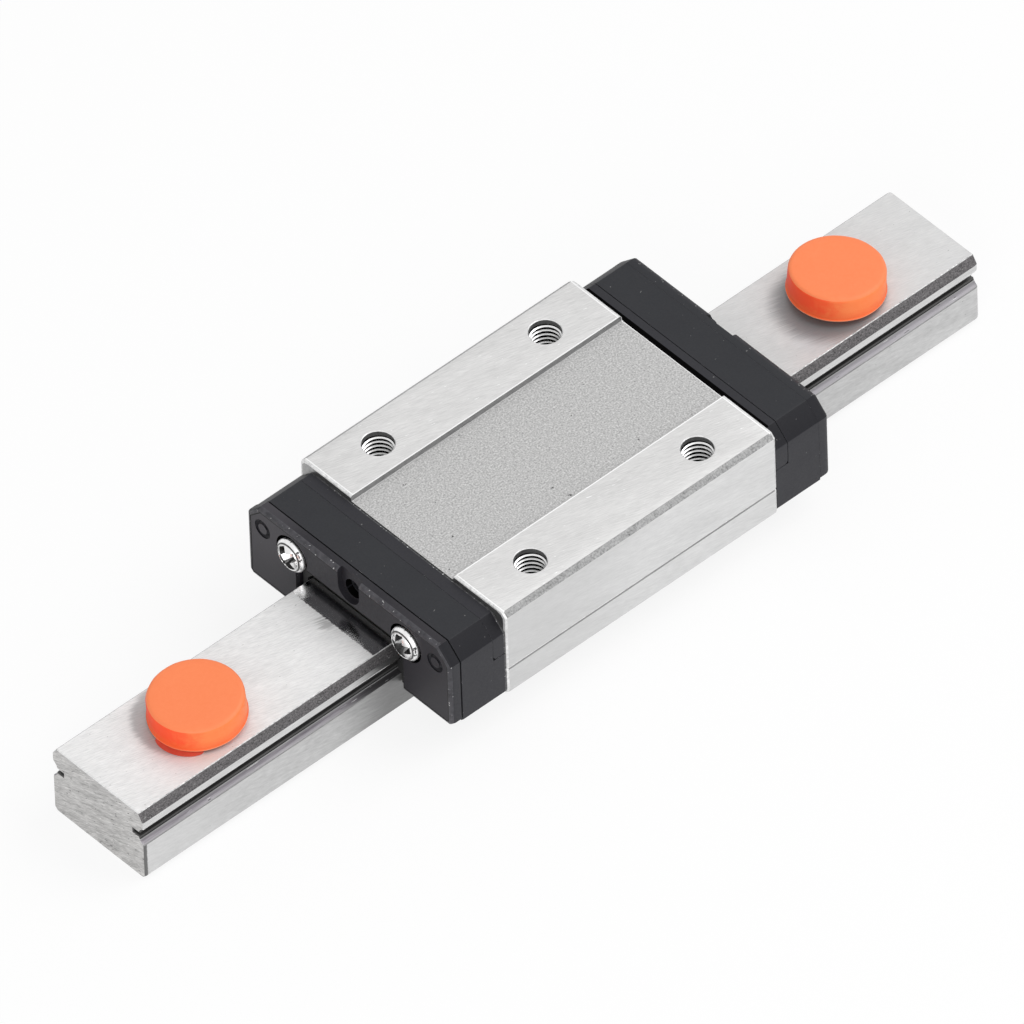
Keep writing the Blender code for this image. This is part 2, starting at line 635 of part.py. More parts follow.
def cap_screw_mesh():
    """A pan-head screw with a cross recess, its head's seat at the origin and its shank along -X."""
    shank = SCREW_DIAMETER / 2
    length = SCREW_SEAT - BLOCK_END + SCREW_REACH
    head = SCREW_HEAD_DIAMETER / 2
    crown = SCREW_HEAD_HEIGHT - SCREW_HEAD_RIM
    dome = [
        (head * math.cos(a), SCREW_HEAD_RIM + crown * math.sin(a))
        for a in (math.radians(d) for d in (0, 20, 40, 60, 78))
    ]
    profile = [
        (0, -length),
        (shank - SCREW_CLEARANCE, -length),
        (shank, -length + 2 * SCREW_CLEARANCE),
        (shank, 0),
        (head, 0),
    ]
    profile += dome + [(0, SCREW_HEAD_HEIGHT)]
    body = mesh_from("cap screw", add_turned, profile, (0, 0, 0), (1, 0, 0), SMALL_HOLE_SIDES)

    def cross(span, width):
        long, short = span / 2, width / 2
        quarter = [(long, -short), (long, short), (short, short)]
        points = []
        for step in range(4):
            c, s = round(math.cos(step * math.pi / 2)), round(math.sin(step * math.pi / 2))
            points += [(c * y - s * z, s * y + c * z) for y, z in quarter]
        return points

    tip = CROSS_WIDTH
    above = SCREW_HEAD_HEIGHT + PAST
    widen = (CROSS_SPAN - tip) * PAST / CROSS_DEPTH
    recess = mesh_from(
        "cross",
        add_sections,
        [
            (SCREW_HEAD_HEIGHT - CROSS_DEPTH, cross(tip, CROSS_WIDTH / 2)),
            (above, cross(CROSS_SPAN + widen, CROSS_WIDTH)),
        ],
    )
    return shaped(body, cutters=[recess])


def plug_mesh():
    """A soft push-in plug, its head's underside at the origin and its stem below."""
    base = PLUG_DIAMETER / 2
    top = base - PLUG_DRAFT
    stem = PLUG_STEM_DIAMETER / 2
    edge = arc((top - PLUG_TOP_ROUND, PLUG_HEIGHT - PLUG_TOP_ROUND), PLUG_TOP_ROUND, 0, math.pi / 2)
    profile = [
        (0, -PLUG_STEM_LENGTH),
        (stem - PLUG_STEM_CHAMFER, -PLUG_STEM_LENGTH),
        (stem, -PLUG_STEM_LENGTH + PLUG_STEM_CHAMFER),
        (stem, 0),
        (base, 0),
    ]
    profile += edge + [(0, PLUG_HEIGHT)]
    return mesh_from("plug", add_turned, profile, (0, 0, 0), (0, 0, 1), PLUG_SIDES)


def wire_row_y():
    """Y of the retainer wire, just inside the balls."""
    return BALL_ROW_Y - BALL_RADIUS - WIRE_GAP_TO_BALLS - WIRE_DIAMETER / 2


def retainer_wire_mesh():
    """The wire that keeps the loaded balls in when the block is off the rail, hooked into both caps."""
    radius = WIRE_DIAMETER / 2
    row = wire_row_y()
    leg_x = CAP_OUTER - WIRE_SEAT_DEPTH / 2
    hook = row + WIRE_HOOK
    bend = WIRE_BEND_RADIUS

    def hook_stations(end):
        quarter = [math.pi / 2 * i / ARC_STEPS for i in range(ARC_STEPS + 1)]
        corner = (end * (leg_x - bend), row + bend)
        stations = [
            (corner[0] + end * bend * math.sin(a), corner[1] - bend * math.cos(a), a if end > 0 else -a)
            for a in quarter
        ]
        return stations + [(end * leg_x, hook, math.pi / 2 * end)]

    path = list(reversed(hook_stations(-1))) + hook_stations(1)
    stations = [(x, y, heading, BALL_ROW_HEIGHT, radius) for x, y, heading in path]
    return mesh_from("retainer wire", add_swept, stations, WIRE_SIDES)


def loaded_ball_places():
    """X of each ball that carries load, evenly spaced under the block."""
    return [(i - (LOADED_COUNT - 1) / 2) * LOADED_PITCH for i in range(LOADED_COUNT)]


def circuit_point(distance):
    """Place and heading on the returning half of the +Y circuit, measured from its start at the +X end."""
    turn = math.pi * TURN_RADIUS
    run = 2 * FRAME_OUTER
    if distance <= TRAIN_LEAD_IN:
        return FRAME_OUTER - TRAIN_LEAD_IN + distance, BALL_ROW_Y, 0.0
    distance -= TRAIN_LEAD_IN
    if distance <= turn:
        angle = distance / TURN_RADIUS
        return FRAME_OUTER + TURN_RADIUS * math.sin(angle), TURN_Y - TURN_RADIUS * math.cos(angle), angle
    distance -= turn
    if distance <= run:
        return FRAME_OUTER - distance, RETURN_ROW_Y, math.pi
    distance -= run
    if distance <= turn:
        angle = distance / TURN_RADIUS
        x = -FRAME_OUTER - TURN_RADIUS * math.sin(angle)
        return x, TURN_Y + TURN_RADIUS * math.cos(angle), math.pi + angle
    distance -= turn
    return -FRAME_OUTER + distance, BALL_ROW_Y, math.tau


def ball_train_mesh():
    """The balls in the two turns and the return bore, pressed together into one chain of touching balls."""
    length = 2 * TRAIN_LEAD_IN + math.tau * TURN_RADIUS + 2 * FRAME_OUTER
    gaps = math.ceil(length / (BALL_DIAMETER * TRAIN_PITCH_SHARE))
    step = length / gaps
    half = step / 2
    touch = math.sqrt(BALL_RADIUS**2 - half**2)
    shoulder = BALL_RADIUS * math.sin(math.radians(40))
    side = math.sqrt(BALL_RADIUS**2 - shoulder**2)
    stations = []
    for ball in range(gaps + 1):
        centre = ball * step
        stations.append((centre - half, touch) if ball else (centre - BALL_RADIUS, 0.0))
        stations += [(centre - shoulder, side), (centre, BALL_RADIUS), (centre + shoulder, side)]
    stations.append((length + BALL_RADIUS, 0.0))
    path = []
    for distance, radius in stations:
        x, y, heading = circuit_point(distance)
        path.append((x, y, heading, BALL_ROW_HEIGHT, radius))
    return mesh_from("ball train", add_swept, path, BALL_RING_SIDES)


def ball_mesh():
    """One loose ball."""
    bm = bmesh.new()
    bmesh.ops.create_icosphere(bm, subdivisions=2, radius=BALL_RADIUS)
    mesh = bpy.data.meshes.new("ball")
    bm.to_mesh(mesh)
    bm.free()
    return mesh


def build_plugs(material):
    """Both plugs, in the rail's outer holes, each leaning away from the carriage."""
    holes = rail_hole_places()
    mesh = plug_mesh()
    leaning = (
        ("plug_far", holes[-1], FAR_PLUG_SHIFT, FAR_PLUG_LEAN),
        ("plug_near", holes[0], NEAR_PLUG_SHIFT, NEAR_PLUG_LEAN),
    )
    for name, hole, shift, lean in leaning:
        height = RAIL_HEIGHT + PLUG_SEAT_GAP + (PLUG_DIAMETER / 2) * math.sin(abs(lean))
        at = (hole + shift[0], shift[1], height)
        place(name, mesh, material, location=at, rotation=(0, lean, 0), smooth_below=math.radians(35))


def build_carriage():
    """Every piece that slides, carried by one empty on the rail's centre line."""
    carriage = bpy.data.objects.new("carriage", None)
    bpy.context.scene.collection.objects.link(carriage)
    carriage.location = (CARRIAGE_X, 0, 0)

    block_steel = finish("block steel", (0.78, 0.78, 0.77), 1.0, 0.3)
    cap_plastic = finish("cap plastic", (0.045, 0.047, 0.052), 0.0, 0.5)
    frame_plastic = finish("frame plastic", (0.05, 0.05, 0.056), 0.0, 0.55)
    seal_plastic = finish("seal plastic", (0.055, 0.054, 0.06), 0.0, 0.55)
    lip_rubber = finish("lip rubber", (0.02, 0.02, 0.022), 0.0, 0.7)
    screw_chrome = finish("screw chrome", (0.85, 0.85, 0.85), 1.0, 0.12)
    wire_steel = finish("wire steel", (0.6, 0.6, 0.6), 1.0, 0.3)
    ball_steel = finish("ball steel", (0.8, 0.8, 0.8), 1.0, 0.1)

    place("block", block_mesh(), block_steel, carriage, smooth_below=math.radians(25))
    ends = (("far", 0.0), ("near", math.pi))
    frame, cap, seal, lip = return_frame_mesh(), end_cap_mesh(), seal_plate_mesh(), seal_lip_mesh()
    screw = cap_screw_mesh()
    kinds = (
        ("return_frame", frame, frame_plastic),
        ("end_cap", cap, cap_plastic),
        ("seal_plate", seal, seal_plastic),
        ("seal_lip", lip, lip_rubber),
    )
    for end, turn in ends:
        facing = (0, 0, turn)
        for kind, mesh, material in kinds:
            place(f"{kind}_{end}", mesh, material, carriage, rotation=facing, smooth_below=math.radians(25))
        direction = round(math.cos(turn))
        for side, hand in (("left", 1), ("right", -1)):
            seat = (direction * SCREW_SEAT + direction * JOINT_GAP, hand * SCREW_Y, SCREW_Z)
            name = f"cap_screw_{end}_{side}"
            place(name, screw, screw_chrome, carriage, seat, facing, smooth_below=math.radians(35))

    wire, train, ball = retainer_wire_mesh(), ball_train_mesh(), ball_mesh()
    for side, hand, turn in (("left", 1, 0.0), ("right", -1, math.pi)):
        facing = (0, 0, turn)
        round_below = math.radians(60)
        place(f"retainer_wire_{side}", wire, wire_steel, carriage, rotation=facing, smooth_below=round_below)
        place(f"return_balls_{side}", train, ball_steel, carriage, rotation=facing, smooth_below=round_below)
        for number, x in enumerate(loaded_ball_places(), start=1):
            at = (x, hand * BALL_ROW_Y, BALL_ROW_HEIGHT)
            place(f"load_ball_{side}_{number:02d}", ball, ball_steel, carriage, at, smooth_below=round_below)


def main():
    for item in list(bpy.data.objects):
        bpy.data.objects.remove(item)
    rail_steel = finish("rail steel", (0.76, 0.76, 0.75), 1.0, 0.3)
    plug_plastic = finish("plug plastic", (1.0, 0.26, 0.08), 0.0, 0.55)
    place("rail", rail_mesh(), rail_steel, smooth_below=math.radians(25))
    build_plugs(plug_plastic)
    build_carriage()


main()
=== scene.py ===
import math
import random

import bmesh
import bpy
from mathutils import Matrix, Vector


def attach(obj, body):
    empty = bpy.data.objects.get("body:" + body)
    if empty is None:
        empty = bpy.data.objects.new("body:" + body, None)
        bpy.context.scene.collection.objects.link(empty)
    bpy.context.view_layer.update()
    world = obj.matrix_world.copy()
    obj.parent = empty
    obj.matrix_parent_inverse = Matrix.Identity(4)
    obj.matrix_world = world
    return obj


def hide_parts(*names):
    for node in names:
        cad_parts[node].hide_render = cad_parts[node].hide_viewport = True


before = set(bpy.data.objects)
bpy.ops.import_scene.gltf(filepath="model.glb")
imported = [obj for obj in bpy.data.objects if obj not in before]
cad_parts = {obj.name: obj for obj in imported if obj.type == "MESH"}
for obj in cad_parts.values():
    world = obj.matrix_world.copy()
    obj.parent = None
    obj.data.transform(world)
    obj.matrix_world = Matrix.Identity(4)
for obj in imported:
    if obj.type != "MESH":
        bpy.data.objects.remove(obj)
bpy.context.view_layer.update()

# Sizes in millimetres, as in the part's source. Places on the carriage count from the carriage's middle.
RAIL_LENGTH, RAIL_HALF, RAIL_TOP = 100.0, 6.0, 8.0
RAIL_CHAMFER_FOOT, RAIL_CHAMFER_IN = 7.1, 0.55
HOLE_PITCH, BOLT_R, HEAD_R, HEAD_SEAT = 25.0, 1.75, 3.0, 3.5
CARRIAGE_X = 2.6
BALL_Y, BALL_Z, BALL_R = 6.48, 5.28, 1.0
GROOVE_R, GROOVE_OFFSET = 1.06 * BALL_R, 0.01
RACE_EDGE = 52  # degrees from level
SLOT_HALF, SLOT_FLOOR = 0.22, 4.6
RETURN_Y, BORE_R = 10.0, 1.09
TURN_R, TURN_BORE = 1.76, 1.12
BLOCK_END, BLOCK_HALF = 16.2, 13.5
BLOCK_TOP, BLOCK_FOOT = 13.0, 3.0
RECESS_HALF, RECESS_FLOOR = 6.7, 12.5
CHANNEL_HALF, CHANNEL_TOP, CHANNEL_ROUND = 6.35, 8.5, 0.3
LINE_Z = 6.1
TAP_PLACE, TAP_R = 10.0, 1.52
FRAME_IN, FRAME_OUT = 16.215, 17.62
CORE_HALF, CORE_FOOT, CORE_TOP = 12.2, 3.8, 8.3
CAP_OUT = 21.39
SEAL_IN, SEAL_OUT = 21.47, 22.70
FACE_GAP = 0.08
END_HALF, END_TOP, END_FOOT = 13.4, 12.4, 3.2
PASS_HALF, PASS_TOP = 6.3, 8.6
SHOULDER = 1.6
RIM = 0.16
SEAL_LOW, SEAL_HALF, SEAL_TOP, SEAL_ROUND = 3.28, 7.0, 9.1, 1.3
GREASE_Z = 10.6
MARK_Y, MARK_Z = 11.35, 10.1
SCREW_Y, SCREW_Z, SCREW_SEAT, SCREW_HOLE_R = 7.5, 9.7, 22.2, 1.07
PLUG_R, PLUG_WALL_R, PLUG_HEIGHT, PLUG_ROUND = 4.55, 4.43, 2.5, 0.42
PLUG_NEAR, PLUG_FAR = (-38.3, -0.2), (37.95, -0.45)

# How far along X the round cutters of the end parts reach.
THROUGH_FRAME, THROUGH_CAP = (15, 19), (16, 23)


# Outlines

def arc(centre, radius, start, end, steps):
    """Points on a circle from one angle to another, in degrees, both ends included."""
    angles = [math.radians(start + (end - start) * i / steps) for i in range(steps + 1)]
    return [(centre[0] + radius * math.cos(a), centre[1] + radius * math.sin(a)) for a in angles]


def eased(outline, radii, steps=3):
    """The closed outline with some corners rounded, from a dict of corner index to radius."""
    points = []
    for i, corner in enumerate(outline):
        if i not in radii:
            points.append(corner)
            continue
        here = Vector(corner)
        a = Vector(outline[i - 1]) - here
        b = Vector(outline[(i + 1) % len(outline)]) - here
        half_angle = a.angle(b) / 2
        reach = radii[i] / math.tan(half_angle)
        middle = (a.normalized() + b.normalized()).normalized()
        centre = here + middle * (radii[i] / math.sin(half_angle))
        start, end = here + a.normalized() * reach - centre, here + b.normalized() * reach - centre
        sweep = start.angle_signed(end)
        for k in range(steps + 1):
            points.append(tuple(centre + Matrix.Rotation(-sweep * k / steps, 2) @ start))
    return points


def inset(outline, amounts):
    """The outline with its edges moved inwards, by one amount or by amounts[i] after each point i."""
    if not isinstance(amounts, list):
        amounts = [amounts] * len(outline)
    lines = []
    for i, a in enumerate(outline):
        along = (Vector(outline[(i + 1) % len(outline)]) - Vector(a)).normalized()
        lines.append((Vector(a) + Vector((-along.y, along.x)) * amounts[i], along))
    moved = []
    for i, (q, v) in enumerate(lines):
        p, u = lines[i - 1]
        cross = u.x * v.y - u.y * v.x
        if abs(cross) < 1e-4:
            moved.append(tuple(q))
        else:
            moved.append(tuple(p + u * (((q.x - p.x) * v.y - (q.y - p.y) * v.x) / cross)))
    return moved


def mirrored(points):
    """The same run on the -Y side, in the opposite order."""
    return [(-y, z) for y, z in reversed(points)]


def saddle(outer, inner):
    """A closed outline that straddles the rail, from an outer run going up and an inner one going down."""
    return outer + mirrored(outer) + mirrored(inner) + inner


# Solids

def add_object(name, data):
    thing = bpy.data.objects.new(name, data)
    bpy.context.scene.collection.objects.link(thing)
    return thing


def in_metres(name, bm, closed=True):
    """A mesh from a drawing in millimetres. The faces of a closed one are turned outwards."""
    bmesh.ops.remove_doubles(bm, verts=bm.verts, dist=1e-5)
    if closed:
        bmesh.ops.recalc_face_normals(bm, faces=bm.faces)
    bmesh.ops.scale(bm, vec=(0.001,) * 3, verts=bm.verts)
    mesh = bpy.data.meshes.new(name)
    bm.to_mesh(mesh)
    bm.free()
    return mesh


def mesh_of(name, fill, *args):
    """A mesh drawn by one of the add functions."""
    bm = bmesh.new()
    fill(bm, *args)
    return in_metres(name, bm)


def add_bar(bm, stations, finishes=None, caps=0, bands=None):
    """A solid along X through outlines of equal point count.

    finishes[i] is the slot of the face before point i, bands[k] that of the whole stretch after station k.
    """
    rings = [[bm.verts.new((x, y, z)) for y, z in outline] for x, outline in stations]
    for k, (near, far) in enumerate(zip(rings, rings[1:])):
        for i in range(len(near)):
            face = bm.faces.new((near[i - 1], near[i], far[i], far[i - 1]))
            face.material_index = bands[k] if bands else finishes[i] if finishes else 0
    for ring in (rings[0], rings[-1]):
        bm.faces.new(ring).material_index = caps


def add_lathe(bm, profile, place, sides, finishes=None):
    """A solid turned about Z and then placed, from (radius, height) points, with a slot for each ring."""
    rings = []
    for radius, height in profile:
        count = sides if radius > 1e-9 else 1
        angles = [math.tau * i / sides for i in range(count)]
        spots = [Vector((radius * math.cos(a), radius * math.sin(a), height)) for a in angles]
        rings.append([bm.verts.new(place @ spot) for spot in spots])
    for k, (near, far) in enumerate(zip(rings, rings[1:])):
        for i in range(sides):
            j = i + 1
            ring = [near[i % len(near)], near[j % len(near)], far[j % len(far)], far[i % len(far)]]
            if len(set(ring)) > 2:
                bm.faces.new(list(dict.fromkeys(ring))).material_index = finishes[k] if finishes else 0


def add_prism(bm, near, far, finishes, ends=0):
    """A solid between two outlines in space. finishes[i] is the slot of the face before point i."""
    rings = [[bm.verts.new(point) for point in outline] for outline in (near, far)]
    for i in range(len(near)):
        face = bm.faces.new((rings[0][i - 1], rings[0][i], rings[1][i], rings[1][i - 1]))
        face.material_index = finishes[i]
    for ring in rings:
        bm.faces.new(ring).material_index = ends


def upright(x, y, z):
    """A place whose own Z points up."""
    return Matrix.Translation((x, y, z))


def lengthways(y, z, direction=1):
    """A place on the carriage's middle whose own Z points along the rail."""
    return Matrix.Translation((0, y, z)) @ Matrix.Rotation(direction * math.pi / 2, 4, "Y")


def paint(mesh, slot, chosen):
    """Gives a slot to the faces that are chosen by their normal and their centre in millimetres."""
    for face in mesh.polygons:
        if chosen(face.normal, face.center * 1000):
            face.material_index = slot


def peg(name, radius, start, end, place, sides=32, slot=0):
    """A plain round cutter."""
    profile = [(0, start), (radius, start), (radius, end), (0, end)]
    return mesh_of(name, add_lathe, profile, place, sides, [slot] * 3)


def cut(mesh, cutters, joined=()):
    """The mesh with pieces joined to it and cutters taken out. Their faces keep their own slots."""
    body = add_object("blank", mesh)
    tools = []
    for operation, meshes in (("UNION", joined), ("DIFFERENCE", cutters)):
        for other in meshes:
            tools.append(add_object("tool", other))
            step = body.modifiers.new("step", "BOOLEAN")
            step.operation, step.solver, step.object = operation, "EXACT", tools[-1]
    graph = bpy.context.evaluated_depsgraph_get()
    result = bpy.data.meshes.new_from_object(body.evaluated_get(graph))
    result.name = mesh.name
    for item in [body] + tools:
        bpy.data.objects.remove(item)
    return result


def piece(name, mesh, finishes, body, *nodes, turn=0.0, smooth=30, ease=None, at=(0, 0, 0), tilt=Matrix()):
    """Puts a mesh on a CAD body, in place of CAD nodes. ease is the radius of its edges in mm, and a slot."""
    if not mesh.materials:
        for surface in finishes:
            mesh.materials.append(surface)
    mesh.shade_smooth()
    mesh.set_sharp_from_angle(angle=math.radians(smooth))
    thing = add_object(name, mesh)
    start = Vector((CARRIAGE_X if body == "carriage" else 0.0, 0, 0))
    place = Matrix.Translation((start + Vector(at)) * 0.001) @ Matrix.Rotation(turn, 4, "Z")
    thing.matrix_world = place @ tilt
    if ease:
        bevel = thing.modifiers.new("eased edges", "BEVEL")
        bevel.width, bevel.segments = ease[0] * 0.001, 2
        bevel.limit_method, bevel.angle_limit = "ANGLE", math.radians(32)
        bevel.use_clamp_overlap, bevel.harden_normals = True, True
        if len(ease) > 1:
            bevel.material = ease[1]
    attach(thing, body)
    if nodes:
        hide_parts(*nodes)


# Finishes

def new_group(name, inputs, output):
    """An empty shader group with named sockets, and its two ends."""
    group = bpy.data.node_groups.new(name, "ShaderNodeTree")
    for label, kind, default in inputs:
        socket = group.interface.new_socket(label, in_out="INPUT", socket_type=kind)
        socket.default_value = default
    group.interface.new_socket(output, in_out="OUTPUT", socket_type="NodeSocketFloat")
    return group, group.nodes.new("NodeGroupInput").outputs, group.nodes.new("NodeGroupOutput").inputs


def add_node(tree, kind, links=(), **values):
    """A node with its settings, and its sockets given as values or as links from other sockets."""
    node = tree.nodes.new(kind)
    for key, value in values.items():
        setattr(node, key, value)
    for socket, source in dict(links).items():
        if hasattr(source, "is_output"):
            tree.links.new(source, node.inputs[socket])
        else:
            node.inputs[socket].default_value = source
    return node


def add_vector_step(tree, operation, *sources):
    """A vector sum or product."""
    return add_node(tree, "ShaderNodeVectorMath", dict(enumerate(sources)), operation=operation)


def add_sum(tree, operation, *sources):
    """The result of a sum or product."""
    return add_node(tree, "ShaderNodeMath", dict(enumerate(sources)), operation=operation).outputs[0]


def drawn_noise(group, ends, detail, roughness):
    """Noise about a millimetre across, turned and then squeezed along the axes."""
    turning = {0: ends["Place"], 4: ends["Turn"]}
    turned = add_node(group, "ShaderNodeVectorRotate", turning, rotation_type="EULER_XYZ")
    squeezed = add_vector_step(group, "MULTIPLY", turned.outputs[0], ends["Squeeze"])
    settings = {"Vector": squeezed.outputs[0], "Scale": 1000.0, "Detail": detail, "Roughness": roughness}
    return add_node(group, "ShaderNodeTexNoise", settings).outputs["Fac"]


NUMBER, VECTOR = "NodeSocketFloat", "NodeSocketVector"
NOISE_INPUTS = [("Place", VECTOR, (0, 0, 0)), ("Squeeze", VECTOR, (1, 1, 1)), ("Turn", VECTOR, (0, 0, 0))]
MIDDLE = {"From Min": 0.3, "From Max": 0.7}


def grain_group():
    """Grinding marks, blasting or clouding: 0 to 1."""
    group, ends, out = new_group("grain", NOISE_INPUTS, "Marks")
    noise = drawn_noise(group, ends, 6.0, 0.66)
    marks = add_node(group, "ShaderNodeMapRange", {"Value": noise, **MIDDLE})
    group.links.new(marks.outputs["Result"], out["Marks"])
    return group


def speck_group():
    """Scattered specks: 1 on a speck and 0 off it."""
    group, ends, out = new_group("specks", NOISE_INPUTS + [("Rarity", NUMBER, 0.7)], "Mask")
    noise = drawn_noise(group, ends, 2.0, 0.5)
    above = add_sum(group, "ADD", ends["Rarity"], 0.04)
    reach = {"Value": noise, "From Min": ends["Rarity"], "From Max": above}
    mask = add_node(group, "ShaderNodeMapRange", reach)
    group.links.new(mask.outputs["Result"], out["Mask"])
    return group


def ramp_group():
    """A share that grows as the distance from a centre goes from one value to another, with a ragged front.

    Spread weighs the axes: (1, 0, 0) gives the distance from a plane across the rail, (1, 1, 0) from a line
    that stands upright.
    """
    inputs = [("Centre", VECTOR, (0, 0, 0)), ("Spread", VECTOR, (1, 0, 0)), ("From", NUMBER, 0.0),
              ("To", NUMBER, 0.001), ("Ragged", NUMBER, 0.0), ("Most", NUMBER, 1.0)]
    group, ends, out = new_group("ramp", NOISE_INPUTS + inputs, "Share")
    away = add_vector_step(group, "SUBTRACT", ends["Place"], ends["Centre"])
    weighed = add_vector_step(group, "MULTIPLY", away.outputs[0], ends["Spread"])
    distance = add_vector_step(group, "LENGTH", weighed.outputs[0]).outputs["Value"]
    noise = drawn_noise(group, ends, 4.0, 0.6)
    swing = add_node(group, "ShaderNodeMapRange", {"Value": noise, **MIDDLE, "To Min": -1.0})
    ragged = add_sum(group, "MULTIPLY_ADD", swing.outputs[0], ends["Ragged"], distance)
    reach = {"Value": ragged, "From Min": ends["From"], "From Max": ends["To"]}
    share = add_node(group, "ShaderNodeMapRange", reach, interpolation_type="SMOOTHSTEP")
    scaled = add_sum(group, "MULTIPLY", share.outputs["Result"], ends["Most"])
    group.links.new(scaled, out["Share"])
    return group


GRAIN, SPECKS, RAMP = grain_group(), speck_group(), ramp_group()
ROUGH_SWING = 0.06


def grouped(tree, group, place, sockets):
    """The output of a group node that is fed with the place and the given socket values."""
    node = add_node(tree, "ShaderNodeGroup", {"Place": place}, node_tree=group)
    for name, value in sockets.items():
        node.inputs[name].default_value = value
    return node.outputs[0]


def mixed(tree, share, first, second):
    """Two numbers mixed by a share."""
    return add_node(tree, "ShaderNodeMix", {0: share, 2: first, 3: second}, data_type="FLOAT").outputs[0]


def toned(tree, share, first, second):
    """Two colours mixed by a share."""
    return add_node(tree, "ShaderNodeMix", {0: share, 6: first, 7: second}, data_type="RGBA").outputs[2]


def finish(name, pale, deep, metallic, roughness, grain=(1, 4, 4), turn=(0, 0, 0), cloud=(0.3, 0.3, 0.3),
           cloud_share=0.3, specks=(), fades=(), bump=0.3, depth=0.01, specular=0.5):
    """One surface: two tones mixed by grain and broad clouding, with relief from the grain.

    specks are (squeeze, rarity, colour). fades are (centre, spread, from, to, ragged front, most, colour,
    roughness), with a metallic value where that changes too, their places and distances in millimetres.
    """
    material = bpy.data.materials.new(name)
    material.use_nodes = True
    tree = material.node_tree
    shader = tree.nodes["Principled BSDF"]
    place = add_node(tree, "ShaderNodeTexCoord").outputs["Object"]
    turn = tuple(math.radians(a) for a in turn)
    marks = grouped(tree, GRAIN, place, {"Squeeze": grain, "Turn": turn})
    broad = grouped(tree, GRAIN, place, {"Squeeze": cloud, "Turn": turn})
    blend = mixed(tree, cloud_share, marks, broad)
    colour = toned(tree, blend, (*deep, 1), (*pale, 1))
    swing = {"Value": blend, "To Min": roughness + ROUGH_SWING, "To Max": roughness - ROUGH_SWING}
    rough = add_node(tree, "ShaderNodeMapRange", swing).outputs["Result"]
    shine = metallic
    front = (0.3 * grain[0], 0.8 * grain[1], 0.8 * grain[2])
    for centre, spread, start, stop, ragged, most, tone, rubbed, *metal in fades:
        values = {"Centre": tuple(c * 0.001 for c in centre), "Spread": spread, "From": start * 0.001,
                  "To": stop * 0.001, "Ragged": ragged * 0.001, "Most": most, "Squeeze": front, "Turn": turn}
        share = grouped(tree, RAMP, place, values)
        colour = toned(tree, share, colour, (*tone, 1))
        rough = mixed(tree, share, rough, rubbed)
        if metal:
            shine = mixed(tree, share, shine, metal[0])
    for squeeze, rarity, tone in specks:
        dots = grouped(tree, SPECKS, place, {"Squeeze": squeeze, "Turn": turn, "Rarity": rarity})
        colour = toned(tree, dots, colour, (*tone, 1))
    marked = {"Strength": bump, "Distance": depth * 0.001, "Height": marks}
    relief = add_node(tree, "ShaderNodeBump", marked).outputs["Normal"]
    for socket, source in (("Base Color", colour), ("Roughness", rough), ("Normal", relief)):
        tree.links.new(source, shader.inputs[socket])
    shader.inputs["Metallic"].default_value = metallic
    if shine != metallic:
        tree.links.new(shine, shader.inputs["Metallic"])
    shader.inputs["Specular IOR Level"].default_value = specular
    return material


def grey(level, warmth=0.0):
    """A near-neutral colour. A positive warmth leans to red, a negative one to blue."""
    return (level * (1 + warmth), level, level * (1 - warmth))


ACROSS, UPRIGHT = (1, 0, 0), (1, 1, 0)
SEAL_STAND = (-19.6, 0, RAIL_TOP)

rail_top = finish(
    "ground rail top", grey(0.92, 0.004), grey(0.62), 0.5, 0.5, (1.0, 9, 4), (0, 0, 16), (0.25, 0.9, 0.9),
    specks=[((2.4, 5, 3), 0.73, grey(0.3))], bump=0.35,
    fades=[
        # Painted shade at the darker far end; round each plug a cool tint painted against the plug's
        # reflected orange, and a soft painted shadow.
        ((50, 0, RAIL_TOP), ACROSS, 30, 27, 0, 0.42, grey(0.46), 0.5),
        ((-40.6, -2.8, RAIL_TOP), UPRIGHT, 5.2, 2.0, 0, 0.45, (0.62, 0.75, 0.79), 0.5),
        ((35.0, -3.6, RAIL_TOP), UPRIGHT, 5.2, 2.0, 0, 0.45, (0.56, 0.69, 0.73), 0.5),
        ((-39.2, 0.5, RAIL_TOP), UPRIGHT, 5.2, 4.4, 0.2, 0.5, (0.16, 0.17, 0.18), 0.5),
        ((36.4, -0.9, RAIL_TOP), UPRIGHT, 5.9, 3.9, 0.3, 0.65, (0.12, 0.135, 0.145), 0.5),
        # A darker patch just before the near seal, painted shade and reflection of the seal; the polished
        # strip in which the near seal is mirrored; and a dull patch on it.
        ((-22.5, 0.4, RAIL_TOP), UPRIGHT, 1.2, 0.3, 0.6, 0.6, grey(0.3), 0.4),
        (SEAL_STAND, ACROSS, 2.58, 2.42, 0.08, 1, grey(0.78), 0.1, 1.0),
        ((-21.5, 4.9, RAIL_TOP), UPRIGHT, 1.3, 0.2, 0.35, 0.4, grey(0.7), 0.4, 0.5)])
